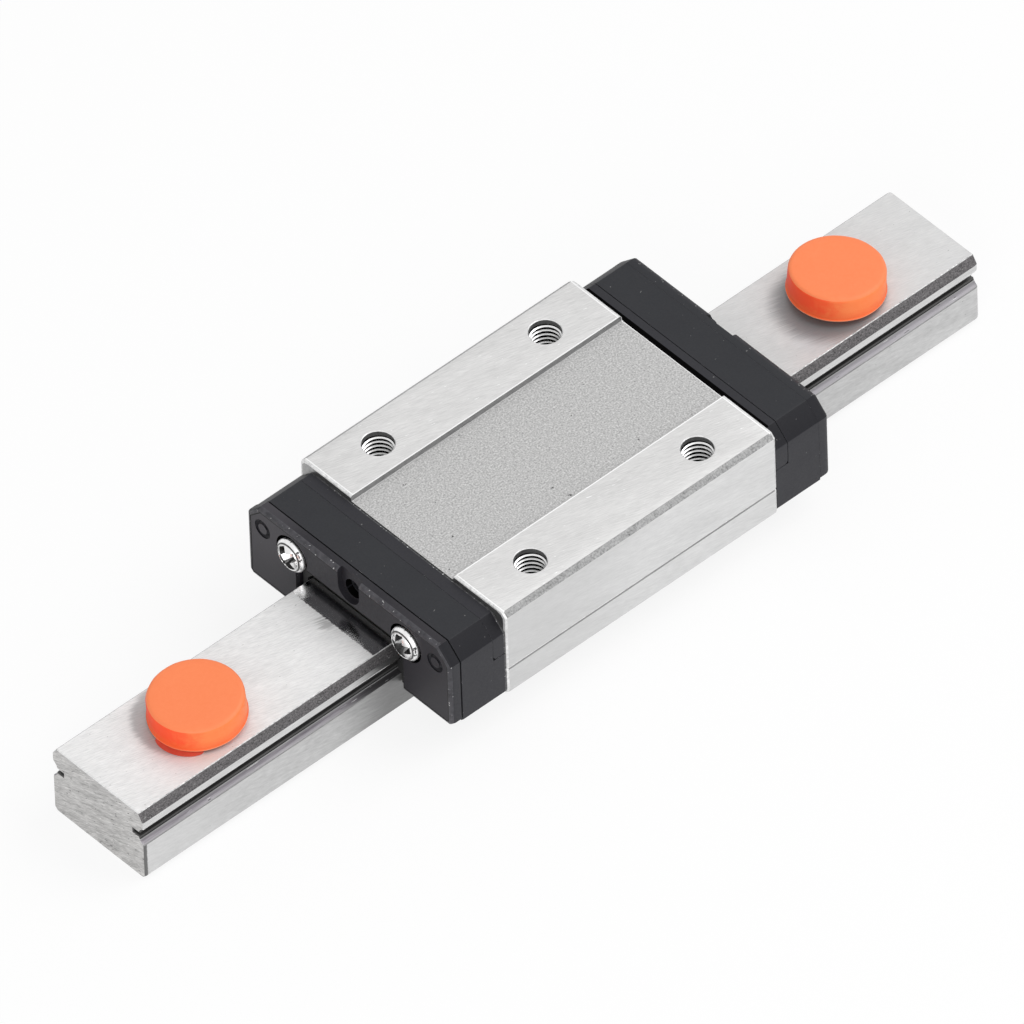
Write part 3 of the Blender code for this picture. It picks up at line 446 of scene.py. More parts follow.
# A rough, mottled chamfer whose dark tone is partly painted reflection.
rail_chamfer = finish(
    "rough rail chamfer partly painted reflection", (0.22, 0.21, 0.215), (0.008, 0.007, 0.008), 0.5, 0.5, (6, 8, 8),
    cloud=(1.2, 3, 3), cloud_share=0.12, specks=[((3.4, 7, 7), 0.66, grey(0.26))], bump=0.5, depth=0.03,
    # Painted shade and reflection: darker by the near seal.
    fades=[(SEAL_STAND, ACROSS, 4.5, 2, 0.4, 0.35, grey(0.02), 0.4)])
rail_ragged = finish(
    "ragged chamfer edge", grey(0.98), grey(0.10), 0.5, 0.45, (3.5, 9, 9), cloud_share=0.15,
    bump=0.6, depth=0.03)
rail_back = finish("back chamfer", grey(0.66), grey(0.4), 0.6, 0.5, (2.2, 4, 4))
rail_lip = finish(
    "polished rail lip", grey(0.76), grey(0.50), 0.7, 0.3, (0.3, 6, 6), bump=0.15,
    # Painted shade and reflection: darker by the near seal.
    fades=[(SEAL_STAND, ACROSS, 6.5, 2.2, 0.3, 0.85, grey(0.06), 0.3)])
# A painted highlight along the lip's lower edge.
rail_lip_highlight = finish("lip edge painted highlight", grey(0.98), grey(0.85), 1.0, 0.2, (0.3, 6, 6), bump=0.1)
# A painted glint along the raceway's rim.
rail_glint = finish("raceway rim painted glint", grey(0.44), grey(0.22), 0.6, 0.4, (0.3, 6, 6), bump=0.1)
rail_shade = finish("raceway shade", grey(0.02), grey(0.01), 0.0, 0.5, (0.3, 6, 6), specular=0.1)
# The raceways, the slot and the deep part of the lower flank, darkened as painted shade.
rail_race_shade = finish("ground raceway painted shade", grey(0.09, 0.02), grey(0.045), 0.3, 0.4, (0.1, 4, 4), bump=0.2)
rail_flank = finish(
    "lapped lower flank", (0.34, 0.32, 0.345), (0.12, 0.11, 0.125), 0.8, 0.35, (0.25, 6, 6),
    cloud=(0.08, 2, 2), cloud_share=0.4, bump=0.2,
    specks=[((0.8, 6, 6), 0.68, grey(0.06)), ((0.5, 6, 6), 0.68, grey(0.7))],
    # Painted light: lighter towards the flank's foot and towards the far end; painted shade by the near seal.
    fades=[((0, 0, 5.0), (0, 0, 1), 0.45, 0.86, 0.05, 0.7, grey(0.5), 0.4),
           ((55, 0, 0), ACROSS, 80, 45, 3, 0.5, (0.36, 0.35, 0.37), 0.4),
           (SEAL_STAND, ACROSS, 7.5, 2.5, 0.5, 0.8, grey(0.05), 0.35)])
rail_side = finish(
    "ground rail side", grey(0.67), grey(0.43), 0.6, 0.42, (0.9, 6, 4), (0, -9, 0), (0.16, 0.9, 0.7), 0.4,
    specks=[((1.8, 4, 4), 0.72, grey(0.3))], bump=0.35,
    # Painted light: lighter towards the near end; a dark line along the near end's edge; painted shade by the
    # near seal.
    fades=[((-50, 0, 0), ACROSS, 16, 3, 1, 0.4, grey(0.74), 0.42),
           ((-50, 0, 0), ACROSS, 0.4, 0.25, 0.03, 0.85, grey(0.06), 0.4),
           (SEAL_STAND, ACROSS, 8.5, 1.0, 0.6, 0.75, grey(0.13), 0.35)])
rail_end = finish(
    "sawn rail end", grey(0.80, 0.015), grey(0.18, 0.01), 0.6, 0.45, (1, 1.0, 9), (22, 0, 0),
    cloud=(0.5, 0.25, 1.6), cloud_share=0.4,
    specks=[((1.5, 1.3, 5), 0.66, grey(0.14)), ((1.2, 1.6, 7), 0.71, grey(0.9))], bump=0.6, depth=0.03)
rail_edge = finish("rail edge line", grey(0.36), grey(0.2), 0.6, 0.4, (1.5, 5, 5), bump=0.2)
bored = finish("bored hole", grey(0.42), grey(0.2), 1.0, 0.35, (3, 3, 12), bump=0.4)

land_steel = finish(
    "ground block land", grey(0.79, 0.006), grey(0.53, 0.006), 0.5, 0.45, (0.8, 9, 4), (0, 0, 16),
    cloud=(0.16, 0.8, 0.8), specks=[((1.2, 6, 3), 0.7, grey(0.93))])
# Worn edges, brightened further as a painted highlight.
block_edge_worn_highlit = finish("worn block edge painted highlight", grey(0.98), grey(0.45), 0.5, 0.4, (3, 3, 3), bump=0.2)
block_chamfer = finish(
    "textured block chamfer", grey(0.52), grey(0.12), 0.4, 0.5, (5, 5, 5),
    cloud=(0.5, 1.2, 1.2), cloud_share=0.2, specks=[((2, 3, 3), 0.70, grey(0.06))], bump=0.5, depth=0.02)
block_side = finish(
    "ground block side", grey(0.78), grey(0.58), 0.6, 0.4, (0.8, 4, 5), (0, -12, 0), (0.12, 0.6, 0.6), 0.45,
    # Painted shade: darker towards the near end.
    fades=[((-BLOCK_END, 0, 0), ACROSS, 20, 4, 1, 0.45, grey(0.52), 0.42)])
# A painted highlight along the block's end edges and the recess rim.
block_rim_highlight = finish("block rim painted highlight", grey(0.99), grey(0.84), 0.5, 0.4, (1, 3, 3), bump=0.1)
block_recess = finish(
    "blasted recess", grey(0.76, 0.006), grey(0.21, 0.004), 0.4, 0.55, (6, 6, 6),
    cloud=(2, 2, 2), cloud_share=0.15, specks=[((1.7, 1.7, 1.7), 0.745, grey(0.05))], bump=0.5, depth=0.012)
block_step = finish("milled step wall", grey(0.34), grey(0.18), 0.7, 0.45, (1.5, 5, 5))
# Painted shade in the scribed groove, at the foot of the recess step and along the top of the side chamfer.
block_line_shade = finish("scribed line painted shade", grey(0.34), grey(0.2), 0.6, 0.4, (0.5, 5, 5), bump=0.2)
block_inner = finish("inner block steel", grey(0.4), grey(0.28), 1.0, 0.35, (0.3, 3, 3), bump=0.2)
# Lit and shaded copies of the thread's steel: the upper flank's lit tone, and painted shade for the rest and
# the tapped hole's root.
thread_lit_flank = finish("cut thread", grey(0.95), grey(0.85), 0.7, 0.35, (2, 2, 2), bump=0.1)
thread_shade = finish("thread root painted shade", grey(0.016), grey(0.008), 0.0, 0.7, (2, 2, 2), bump=0.1, specular=0.0)
# The tapped hole's plain wall below its mouth, painted shade.
hole_wall_shade = finish("drilled hole wall painted shade", grey(0.16), grey(0.07), 0.3, 0.5, (1, 1, 6), bump=0.2)

DUST = ((3.4, 3.4, 3.4), 0.675, grey(0.5))
LINT = ((2.6, 2.6, 2.6), 0.735, grey(0.15))


def moulded(name, pale, deep):
    """A moulded black plastic."""
    return finish(name, pale, deep, 0.0, 0.5, (6, 6, 6), specks=[LINT], bump=0.25, depth=0.008, specular=0.2)


cap_plastic = moulded("charcoal cap plastic", (0.028, 0.029, 0.033), (0.021, 0.022, 0.026))
# Painted shade for the sloped shoulders and painted light for the upright sides of the end parts.
shoulder_shade = moulded("end part shoulder painted shade", (0.0125, 0.0125, 0.016), (0.0085, 0.0085, 0.0115))
side_lit = moulded("end part side painted light", (0.038, 0.038, 0.043), (0.028, 0.028, 0.033))
frame_plastic = moulded("return frame plastic", (0.030, 0.030, 0.035), (0.022, 0.022, 0.027))
# Rubbed, dusty eased edges, lightened further as a painted highlight.
cap_edge_dust_highlit = finish(
    "rubbed cap edge dust and painted highlight", (0.075, 0.075, 0.083), (0.02, 0.02, 0.024), 0.0, 0.45, (1.6, 1.6, 1.6),
    specks=[DUST], specular=0.3)
seal_plastic = finish(
    "seal plate plastic", (0.026, 0.025, 0.030), (0.017, 0.016, 0.020), 0.0, 0.48, (5, 5, 5), specks=[LINT],
    # Painted light: lighter towards both sides and in a patch at one upper corner, darker in the middle.
    fades=[((0, -20, 0), (0, 1, 0), 23, 29, 1.0, 1, (0.030, 0.028, 0.033), 0.5),
           ((0, 20, 0), (0, 1, 0), 25, 31, 1.0, 1, (0.038, 0.036, 0.042), 0.5),
           ((0, -12.5, 11), (0, 1, 1), 6.5, 2, 0.5, 0.8, (0.055, 0.052, 0.059), 0.5)],
    depth=0.008, specular=0.2)
# The dusty rounded rim, lightened further as a painted highlight.
seal_edge_dust_highlit = finish(
    "dusty seal edge painted highlight", (0.085, 0.083, 0.093), (0.022, 0.022, 0.026), 0.0, 0.5, (1.8, 1.8, 1.8),
    specks=[DUST], bump=0.35, specular=0.3)
far_edge = finish(
    "dusty far edge", (0.034, 0.034, 0.039), (0.020, 0.020, 0.024), 0.0, 0.5, (1.8, 1.8, 1.8),
    specks=[((3.4, 3.4, 3.4), 0.64, grey(0.22))], bump=0.35, specular=0.2)
rubbed_rim = finish(
    "rubbed block-side rim", (0.15, 0.15, 0.155), (0.008, 0.008, 0.009), 0.0, 0.5, (4, 4, 4),
    specks=[((4.5, 4.5, 4.5), 0.64, grey(0.7))], specular=0.2)
# Painted black shade in seams, holes, screw seats and the far end's meeting band.
black_shade = finish("painted black shade", grey(0.004), grey(0.002), 0.0, 0.8, specular=0.0)
lip_rubber = finish("wiper rubber", grey(0.026), grey(0.014), 0.0, 0.6, (4, 4, 4), specular=0.3)

screw_chrome = finish(
    "plated screw", grey(0.98), grey(0.75), 0.9, 0.3, (1.6, 1.6, 1.6),
    specks=[((1.9, 1.9, 1.9), 0.62, grey(0.06))], bump=0.4)
# Painted shade on the walls of the screw's recess and in its head's groove.
screw_cross_shade = finish("screw cross painted shade", grey(0.2), grey(0.01), 0.8, 0.3, (1.6, 1.6, 1.6), bump=0.4)
wire_steel = finish("drawn wire", grey(0.5), grey(0.35), 1.0, 0.3, (0.3, 5, 5))
ball_steel = finish("ball steel", grey(0.82), grey(0.74), 1.0, 0.12, (1, 1, 1), bump=0.02)

plug_plastic = finish(
    "orange plug plastic", (0.98, 0.262, 0.102), (0.96, 0.238, 0.088), 0.0, 0.5, (3, 3, 3),
    bump=0.12, specular=0.3)
plug_wall = finish(
    "orange plug wall", (1.0, 0.25, 0.075), (0.99, 0.22, 0.062), 0.0, 0.5, (3, 3, 3),
    bump=0.15, specular=0.25,
    # Painted shade: a deeper red on the side away from the key light and near the wall's foot.
    fades=[((3.2, -1.1, 0), UPRIGHT, 5.9, 7.6, 0.3, 1, (1.0, 0.09, 0.026), 0.5),
           ((0, 0, 0), (0, 0, 1), 1.2, 0.1, 0.2, 0.8, (0.96, 0.15, 0.04), 0.5)])
# The rim line, made lighter as a painted highlight.
plug_rim_highlight = finish("plug rim line painted highlight", (0.95, 0.36, 0.2), (0.93, 0.28, 0.13), 0.0, 0.4, (3, 3, 3))
# The near plug's reflection in the rail, painted dark red on a thin sheet.
plug_reflection_paint = finish(
    "painted plug reflection", (0.66, 0.085, 0.05), (0.52, 0.06, 0.035), 0.0, 0.5, (2, 2, 2), specular=0.2)


def slots_of(finishes):
    """The slot of each name in a dict of finishes."""
    return {name: slot for slot, name in enumerate(finishes)}


# Rail

def raceway(direction, start, end):
    """One side of a Gothic arch round the ball row, as (y, z)."""
    lean = math.radians(direction)
    centre = (BALL_Y - GROOVE_OFFSET * math.cos(lean), BALL_Z - GROOVE_OFFSET * math.sin(lean))
    return arc(centre, GROOVE_R, start, end, 8)


def rail_half():
    """The rail's +Y half from foot to top, with the finish of the run that ends at each point."""
    side, foot_cut, flank_slope = RAIL_HALF, 0.4, math.radians(38)
    mouth = math.degrees(math.asin(SLOT_HALF / GROOVE_R))
    lower = raceway(225, 180 + RACE_EDGE, 180 + mouth)
    upper = raceway(135, 180 - mouth, 180 - RACE_EDGE)
    flank_foot = lower[0][1] - (side - lower[0][0]) * math.tan(flank_slope)
    nose_r = (side - upper[-1][0]) / (1 - math.cos(math.radians(RACE_EDGE)))
    nose_centre = (side - nose_r, upper[-1][1] + nose_r * math.sin(math.radians(RACE_EDGE)))
    points = [(side - foot_cut, 0.0), (side, foot_cut), (side, flank_foot - 0.12), (side - 0.04, flank_foot)]
    tags = ["top", "edge", "side", "edge"]
    points += lower + [(SLOT_FLOOR, lower[-1][1]), (SLOT_FLOOR, upper[0][1])] + upper
    # The glint and shine runs carry a painted glint and a painted highlight; the shade and race runs carry
    # painted shade.
    tags += ["flank"] * 5 + ["glint", "shade"] + ["race"] * (4 + len(upper))
    points += arc(nose_centre, nose_r, -RACE_EDGE, 0, 6)[1:]
    tags += ["lip", "lip", "shine", "shine", "shine", "lip"]
    chamfer_top = side - RAIL_CHAMFER_IN
    points += [(side, RAIL_CHAMFER_FOOT), (chamfer_top, RAIL_TOP - 0.06), (chamfer_top - 0.08, RAIL_TOP)]
    tags += ["lip", "chamfer", "burr"]
    return points, tags


def rail_mesh(slots):
    """The rail, its finishes following its outline's runs. The chamfer on the +Y side is a plainer, lighter
    one; the dark tone of the -Y chamfer is partly painted reflection.
    """
    half, tags = rail_half()
    outline = half + mirrored(half)
    plainer = {"chamfer": "back", "burr": "edge"}
    runs = [plainer.get(tag, tag) for tag in tags] + ["top"] + tags[:0:-1]
    span = RAIL_LENGTH / 2
    stations = [(-span, inset(outline, 0.1)), (-span + 0.1, outline)]
    rounding = ((0.45, 0.0), (0.2, 0.06), (0.06, 0.16), (0.0, 0.3))
    stations += [(span - back, inset(outline, depth)) for back, depth in rounding]
    mesh = mesh_of("rail", add_bar, stations, [slots[run] for run in runs], slots["end"])
    profile = [(0, -1), (BOLT_R + 0.2, -1), (BOLT_R + 0.2, -0.05), (BOLT_R, 0.2), (BOLT_R, HEAD_SEAT)]
    profile += [(HEAD_R, HEAD_SEAT), (HEAD_R, RAIL_TOP - 0.12), (HEAD_R + 0.2, RAIL_TOP + 0.08)]
    profile += [(HEAD_R + 0.2, RAIL_TOP + 1), (0, RAIL_TOP + 1)]
    wall = [slots["hole"]] * (len(profile) - 1)
    places = [upright(HOLE_PITCH * (number - 1.5), 0, 0) for number in range(4)]
    return cut(mesh, [mesh_of("hole", add_lathe, profile, place, 48, wall) for place in places])


rail_finishes = {
    "top": rail_top, "chamfer": rail_chamfer, "lip": rail_lip, "race": rail_race_shade, "flank": rail_flank,
    "side": rail_side, "end": rail_end, "hole": bored, "edge": rail_edge, "burr": rail_ragged,
    "back": rail_back, "glint": rail_glint, "shade": rail_shade, "shine": rail_lip_highlight}
piece("ground_rail", rail_mesh(slots_of(rail_finishes)), rail_finishes.values(), "rail", "rail", smooth=20)


# Bearing block

def block_outline():
    """The block's cross-section and the finish of the run that ends at each point."""
    side, top, recess, line = BLOCK_HALF, BLOCK_TOP, RECESS_HALF, LINE_Z
    outer = [
        ((side - 0.25, BLOCK_FOOT), "foot"), ((side, BLOCK_FOOT + 0.25), "chamfer"),
        ((side, line - 0.12), "side"), ((side - 0.07, line - 0.04), "line"),
        ((side - 0.07, line + 0.04), "line"), ((side, line + 0.1), "line"), ((side, line + 0.2), "edge"),
        ((side, top - 0.47), "side"), ((side - 0.44, top - 0.015), "chamfer"), ((side - 0.49, top), "line"),
        ((recess + 0.22, top), "land"), ((recess + 0.09, top), "rim"),
        ((recess - 0.03, RECESS_FLOOR + 0.03), "step"), ((recess - 0.1, RECESS_FLOOR), "line"),
    ]
    wall = CHANNEL_HALF
    upper, lower = raceway(45, 90, 0), raceway(-45, 0, -90)
    inner = arc((wall - CHANNEL_ROUND, CHANNEL_TOP - CHANNEL_ROUND), CHANNEL_ROUND, 90, 0, 4)
    inner += [(wall, upper[0][1])] + upper[:-1] + lower[1:] + [(wall, lower[-1][1]), (wall, BLOCK_FOOT)]
    tags = [tag for point, tag in outer]
    runs = tags + ["recess"] + tags[:0:-1] + ["foot"] * (2 * len(inner))
    return saddle([point for point, tag in outer], inner), runs


def end_ease(outline):
    """How far each edge of the block's outline draws in at the ends: most at the sides, not at the recess."""
    amounts = []
    for i, (y, z) in enumerate(outline):
        next_y, next_z = outline[(i + 1) % len(outline)]
        across, height = abs(y + next_y) / 2, (z + next_z) / 2
        amounts.append(0.3 if across > 13 else 0.14 if height > 12.9 else 0.0)
    return amounts


def block_mesh(slots):
    """The block, its ends drawn in and bright with rubbed wear and a painted highlight, with its bores,
    tapped holes and screw holes.
    """
    outline, runs = block_outline()
    ease = end_ease(outline)
    slight = [0.3 * amount for amount in ease]
    drawn = [(0.0, inset(outline, ease)), (0.06, inset(outline, slight)), (0.26, outline), (0.38, outline)]
    stations = [(back - BLOCK_END, ring) for back, ring in drawn]
    stations += [(BLOCK_END - back, ring) for back, ring in reversed(drawn)]
    bm = bmesh.new()
    add_bar(bm, stations, [slots[run] for run in runs], slots["foot"])
    # Faces near the ends take the painted highlight: the side and top edges, the land ends and the recess's
    # far end.
    for face in bm.faces:
        x, y, z = face.calc_center_median()
        back = BLOCK_END - abs(x)
        if 0.001 < back < 0.25 and (abs(y) > 12.9 or z > 12.8):
            face.material_index = slots["edge"]
        elif back < 0.38 and z > 12.9 or BLOCK_END - x < 0.06 and z > 12.45:
            face.material_index = slots["rim"]
    mesh = in_metres("block", bm)
    tapped = [(0, 8.7), (TAP_R, 9.4), (TAP_R, 12.45), (TAP_R, BLOCK_TOP - 0.07)]
    tapped += [(TAP_R + 0.09, BLOCK_TOP + 0.01), (TAP_R + 0.09, BLOCK_TOP + 1), (0, BLOCK_TOP + 1)]
    # Inside the tapped holes painted shade, at their mouths the painted highlight.
    walls = [slots[name] for name in ("root", "root", "wall", "edge", "edge", "edge")]
    cutters = []
    for side in (-1, 1):
        bore = lengthways(side * RETURN_Y, BALL_Z)
        cutters.append(peg("return bore", BORE_R, -18, 18, bore, 32, slots["bore"]))
        for end in (-1, 1):
            place = upright(end * TAP_PLACE, side * TAP_PLACE, 0)
            cutters.append(mesh_of("tapped hole", add_lathe, tapped, place, 64, walls))
            place = lengthways(side * SCREW_Y, SCREW_Z, end)
            cutters.append(peg("screw hole", 1.1, 12.3, 18, place, 24, slots["bore"]))
    return cut(mesh, cutters)


block_finishes = {
    "land": land_steel, "edge": block_edge_worn_highlit, "chamfer": block_chamfer, "side": block_side,
    "recess": block_recess, "step": block_step, "line": block_line_shade, "foot": block_inner, "bore": bored,
    "root": thread_shade, "wall": hole_wall_shade, "rim": block_rim_highlight}
block = block_mesh(slots_of(block_finishes))
piece("steel_block", block, block_finishes.values(), "carriage", "block", smooth=20)


def thread_mesh():
    """A cut thread seen from inside: a helical surface that runs out at the mouth, towards the near end."""
    turns, pitch, top, sides, run_out = 8, 0.5, 12.5, 64, math.radians(229)
    outer, inner = 1.5, 1.36
    shape = [(0.0, outer), (0.22, outer), (0.40, inner), (0.66, inner), (1.0, outer)]
    bm = bmesh.new()
    for turn in range(turns):
        columns = []
        for i in range(sides + 1):
            angle = math.tau * i / sides + run_out
            column = []
            for share, radius in shape:
                z = min(top, top + 0.15 - pitch * (turn + i / sides + share))
                column.append(bm.verts.new((radius * math.cos(angle), radius * math.sin(angle), z)))
            columns.append(column)
        for near, far in zip(columns, columns[1:]):
            for k in range(len(shape) - 1):
                face = bm.faces.new((near[k], far[k], far[k + 1], near[k + 1]))
                # The upper flank gets the lit tone, every other face the painted shade.
                face.material_index = 0 if k == 1 else 1
    bmesh.ops.remove_doubles(bm, verts=bm.verts, dist=1e-4)
    for face in bm.faces:
        centre = face.calc_center_median()
        face.normal_update()
        if face.normal.dot(Vector((centre.x, centre.y, 0))) > 0:
            face.normal_flip()
    return in_metres("thread", bm, closed=False)


thread = thread_mesh()
for end, x in (("near", -TAP_PLACE), ("far", TAP_PLACE)):
    for side, y in (("right", -TAP_PLACE), ("left", TAP_PLACE)):
        name = f"thread_{end}_{side}"
        piece(name, thread, [thread_lit_flank, thread_shade], "carriage", at=(x, y, 0), smooth=25)


# End parts

# The slots of the finishes that every end part carries. Shoulder slopes, sides, seams and the seal's inner
# line hold painted light and shade.
FACE, EDGE, SEAM_SHADE, SHADED_SLOPE, LIT_SIDE, MEETING, SHADE_LINE = range(7)


def end_outer(top, foot, foot_cut):
    """The +Y run of an end part's outline, from foot to top."""
    side = END_HALF
    return [(side - foot_cut, foot), (side, foot + foot_cut), (side, top - SHOULDER), (side - SHOULDER, top)]


def rounded_rim(stop, outline, ease):
    """The stations of a bar along X that rounds over the rim at its +X end by ease[i] on each edge i."""
    stations = []
    for step in range(5):
        turn = math.pi / 2 * step / 4
        drawn_in = inset(outline, [amount * (1 - math.cos(turn)) for amount in ease])
        stations.append((stop - max(ease) * (1 - math.sin(turn)), drawn_in))
    return stations


def frame_piece_mesh(rim_width):
    """The thin return frame: ball passages, screw holes, outer notches and the posts inside the turns."""
    outer = [(CORE_HALF, CORE_FOOT), (CORE_HALF, CORE_TOP), (END_HALF, CORE_TOP)]
    outer += [(END_HALF, END_TOP - SHOULDER), (END_HALF - SHOULDER, END_TOP)]
    outline = saddle(outer, [(PASS_HALF, PASS_TOP), (PASS_HALF, CORE_FOOT)])
    outline = eased(outline, dict.fromkeys(range(3, 7), 0.25))
    stations = [(x, outline) for x in (FRAME_IN, FRAME_IN + rim_width, FRAME_OUT)]
    plate = mesh_of("return frame", add_bar, stations)
    face, foot = FRAME_OUT, CORE_TOP - 0.1
    notch = [(face - 0.34, foot), (face + 0.2, foot), (face + 0.2, foot + 0.52), (face, foot + 0.42)]
    waist = [(0, -1)] + arc((TURN_R, 0), TURN_BORE, 180 + 63, 180 - 63, 8) + [(0, 1)]
    passages = [(BALL_Y, BALL_Z, BORE_R), (RETURN_Y, BALL_Z, BORE_R), (SCREW_Y, SCREW_Z, SCREW_HOLE_R)]
    cutters, posts = [], []
    for side in (-1, 1):
        for y, z, radius in passages:
            cutters.append(peg("passage", radius, *THROUGH_FRAME, lengthways(side * y, z)))
        near, far = ([(x, side * y, z) for x, z in notch] for y in (12.0, 14.5))
        cutters.append(mesh_of("notch", add_prism, near, far, [0] * len(notch)))
        turn_middle = upright(FRAME_OUT, side * (BALL_Y + TURN_R), BALL_Z)
        posts.append(mesh_of("guide", add_lathe, waist, turn_middle, 32))
    return cut(cut(plate, cutters), [], posts)


def cap_piece_mesh(gap):
    """The end cap with its pocket for the frame, the outer sides of the ball turns, and the wires' seats."""
    outline = saddle(end_outer(END_TOP, END_FOOT, 0.3), [(PASS_HALF, PASS_TOP), (PASS_HALF, END_FOOT)])
    outline = eased(outline, dict.fromkeys(range(2, 6), 0.2))
    body = mesh_of("end cap", add_bar, [(x, outline) for x in (FRAME_IN, FRAME_IN + RIM, CAP_OUT)])
    wall, roof = CORE_HALF + FACE_GAP, CORE_TOP - FACE_GAP
    half = [(wall, CORE_FOOT - FACE_GAP), (wall, roof), (15, roof), (15, 14)]
    pocket = half + mirrored(half)
    cutters = [mesh_of("frame pocket", add_bar, [(15, pocket), (FRAME_OUT + gap, pocket)])]
    cutters.append(peg("grease way", 0.95, *THROUGH_CAP, lengthways(0, GREASE_Z)))
    rim = [(0, -TURN_BORE)] + arc((TURN_R, 0), TURN_BORE, -90, 90, 12) + [(0, TURN_BORE)]
    for side in (-1, 1):
        turn_middle = upright(FRAME_OUT, side * (BALL_Y + TURN_R), BALL_Z)
        cutters.append(mesh_of("ball turn", add_lathe, rim, turn_middle, 48))
        cutters.append(peg("screw hole", SCREW_HOLE_R, *THROUGH_CAP, lengthways(side * SCREW_Y, SCREW_Z)))
        low, high = BALL_Z - 0.3, BALL_Z + 0.3
        seat = [(side * 5.7, low), (side * 8.38, low), (side * 8.38, high), (side * 5.7, high)]
        cutters.append(mesh_of("wire seat", add_bar, [(20.86, seat), (23, seat)]))
    return cut(body, cutters)


def seal_piece_mesh(inner, top, seam, ease, bowl_left):
    """The outer plate, from its inner face, top, seam depth, rounding and the bowl's reach to +Y."""
    outer = end_outer(top, SEAL_LOW, 0.45)
    corner = (SEAL_HALF - SEAL_ROUND, SEAL_TOP - SEAL_ROUND)
    opening = arc(corner, SEAL_ROUND, 90, 0, 8) + [(SEAL_HALF, SEAL_LOW)]
    outline = saddle(outer, opening)
    rim = [1] * (2 * len(outer)) + [0] * (2 * len(opening) - 1) + [1]
    groove = inset(outline, [seam * edge for edge in rim])
    stations = [(inner, groove), (inner + 0.1, groove), (inner + 0.1, outline)]
    stations += rounded_rim(SEAL_OUT, outline, [ease * edge for edge in rim])
    for back, outer_ease, inner_ease in ((0.07, ease + 0.05, 0.03), (0.02, ease + 0.11, 0.08)):
        drawn_in = inset(outline, [outer_ease if edge else inner_ease for edge in rim])
        stations.append((SEAL_OUT - back, drawn_in))
    # The seam's groove and the line inside the rounded rim are painted shade.
    back_slot = SEAM_SHADE if seam else FACE
    bands = [back_slot] * 2 + [FACE] + [EDGE] * 4 + [SHADE_LINE] * 2
    plate = mesh_of("seal plate", add_bar, stations, None, FACE, bands)
    bowl = arc((0, 10.7), 1.4, 180, 360, 16) + [(1.4, 11.6), (bowl_left, 11.8), (bowl_left, 14), (-1.4, 14)]
    cutters = [mesh_of("pocket", add_bar, [(SEAL_OUT - 0.6, bowl), (24, bowl)])]
    # The grease hole and screw seats are painted shade inside; the mould marks' walls take the shoulders'
    # painted shade.
    cutters.append(peg("grease hole", 1.0, 20, 24, lengthways(0, GREASE_Z), 40, SEAM_SHADE))
    seat = [(0, 20), (SCREW_HOLE_R, 20), (SCREW_HOLE_R, SCREW_SEAT), (2.02, SCREW_SEAT), (2.02, 24), (0, 24)]
    ring = [(0.55, 22.56), (0.78, 22.42), (1.0, 22.56), (1.05, 24), (0.55, 24), (0.55, 22.56)]
    for side in (-1, 1):
        screw, mark = lengthways(side * SCREW_Y, SCREW_Z), lengthways(side * MARK_Y, MARK_Z)
        cutters.append(mesh_of("screw seat", add_lathe, seat, screw, 48, [SEAM_SHADE] * 5))
        cutters.append(mesh_of("mould mark", add_lathe, ring, mark, 40, [SHADED_SLOPE] * 3 + [FACE] * 2))
    return cut(plate, cutters)


def lip_piece_mesh():
    """The rubber wiper in the seal plate's opening, which follows the rail's outline."""
    corner = (SEAL_HALF - SEAL_ROUND, SEAL_TOP - SEAL_ROUND)
    outer = [(SEAL_HALF - 0.22, SEAL_LOW)] + arc(corner, SEAL_ROUND - 0.22, 0, 90, 8)
    wiped = [(5.5, 8.12), (6.12, 7.45), (6.12, 6.5), (5.95, 6.15), (5.72, 5.95), (5.56, 5.58), (5.56, 4.97),
             (5.72, 4.62), (5.97, 4.32), (6.12, 4.32), (6.12, SEAL_LOW)]
    outline = saddle(outer, wiped)
    return mesh_of("wiper lip", add_bar, [(SEAL_IN + 0.08, outline), (SEAL_IN + 0.63, outline)])


def screw_piece_mesh():
    """A pan-head screw with a deep four-armed recess, its seat at the origin, pointing along +X."""
    chrome, dark = 0, 1
    shank = [(0, -9.6), (0.75, -9.6), (0.95, -9.35), (0.95, 0), (1.5, 0)]
    rim = arc((1.4, 0.42), 0.35, -60, 50, 6)
    crown = [(1.5, 0.8), (1.36, 0.88), (1.28, 0.8), (1.2, 0.95), (1.0, 1.06), (0.8, 1.14), (0.4, 1.22)]
    crown.append((0, 1.25))
    profile = shank + rim + crown
    turned = [chrome] * (len(profile) - 1)
    # The groove on the head and the recess walls take the painted shade.
    turned[len(shank + rim)] = dark
    head = mesh_of("cap screw", add_lathe, profile, lengthways(0, 0), 48, turned)
    arm = [(-1.4, 1.7), (-1.15, 0.75), (-0.45, 0.15), (0.45, 0.15), (1.15, 0.75), (1.4, 1.7)]
    walls = [dark, dark, chrome, dark, chrome, dark]
    cutters = []
    for turn in (0, math.pi / 2):
        near, far = ([(x, hand * (0.55 if x > 1 else 0.34), s) for s, x in arm] for hand in (-1, 1))
        bm = bmesh.new()
        add_prism(bm, near, far, walls, dark)
        bmesh.ops.rotate(bm, verts=bm.verts, matrix=Matrix.Rotation(turn, 3, "X"))
        cutters.append(in_metres("recess arm", bm))
    return cut(head, cutters)


def slopes(normal, centre):
    return normal.z > 0.5 and abs(normal.y) > 0.5 and centre.z > 10


def stands(normal, centre):
    return abs(normal.y) > 0.9 and abs(centre.y) > 12


def meets_block(normal, centre):
    return centre.x < FRAME_IN + 0.35 and abs(normal.x) < 0.5


def meets_recess(normal, centre):
    return meets_block(normal, centre) and centre.z > 12.2


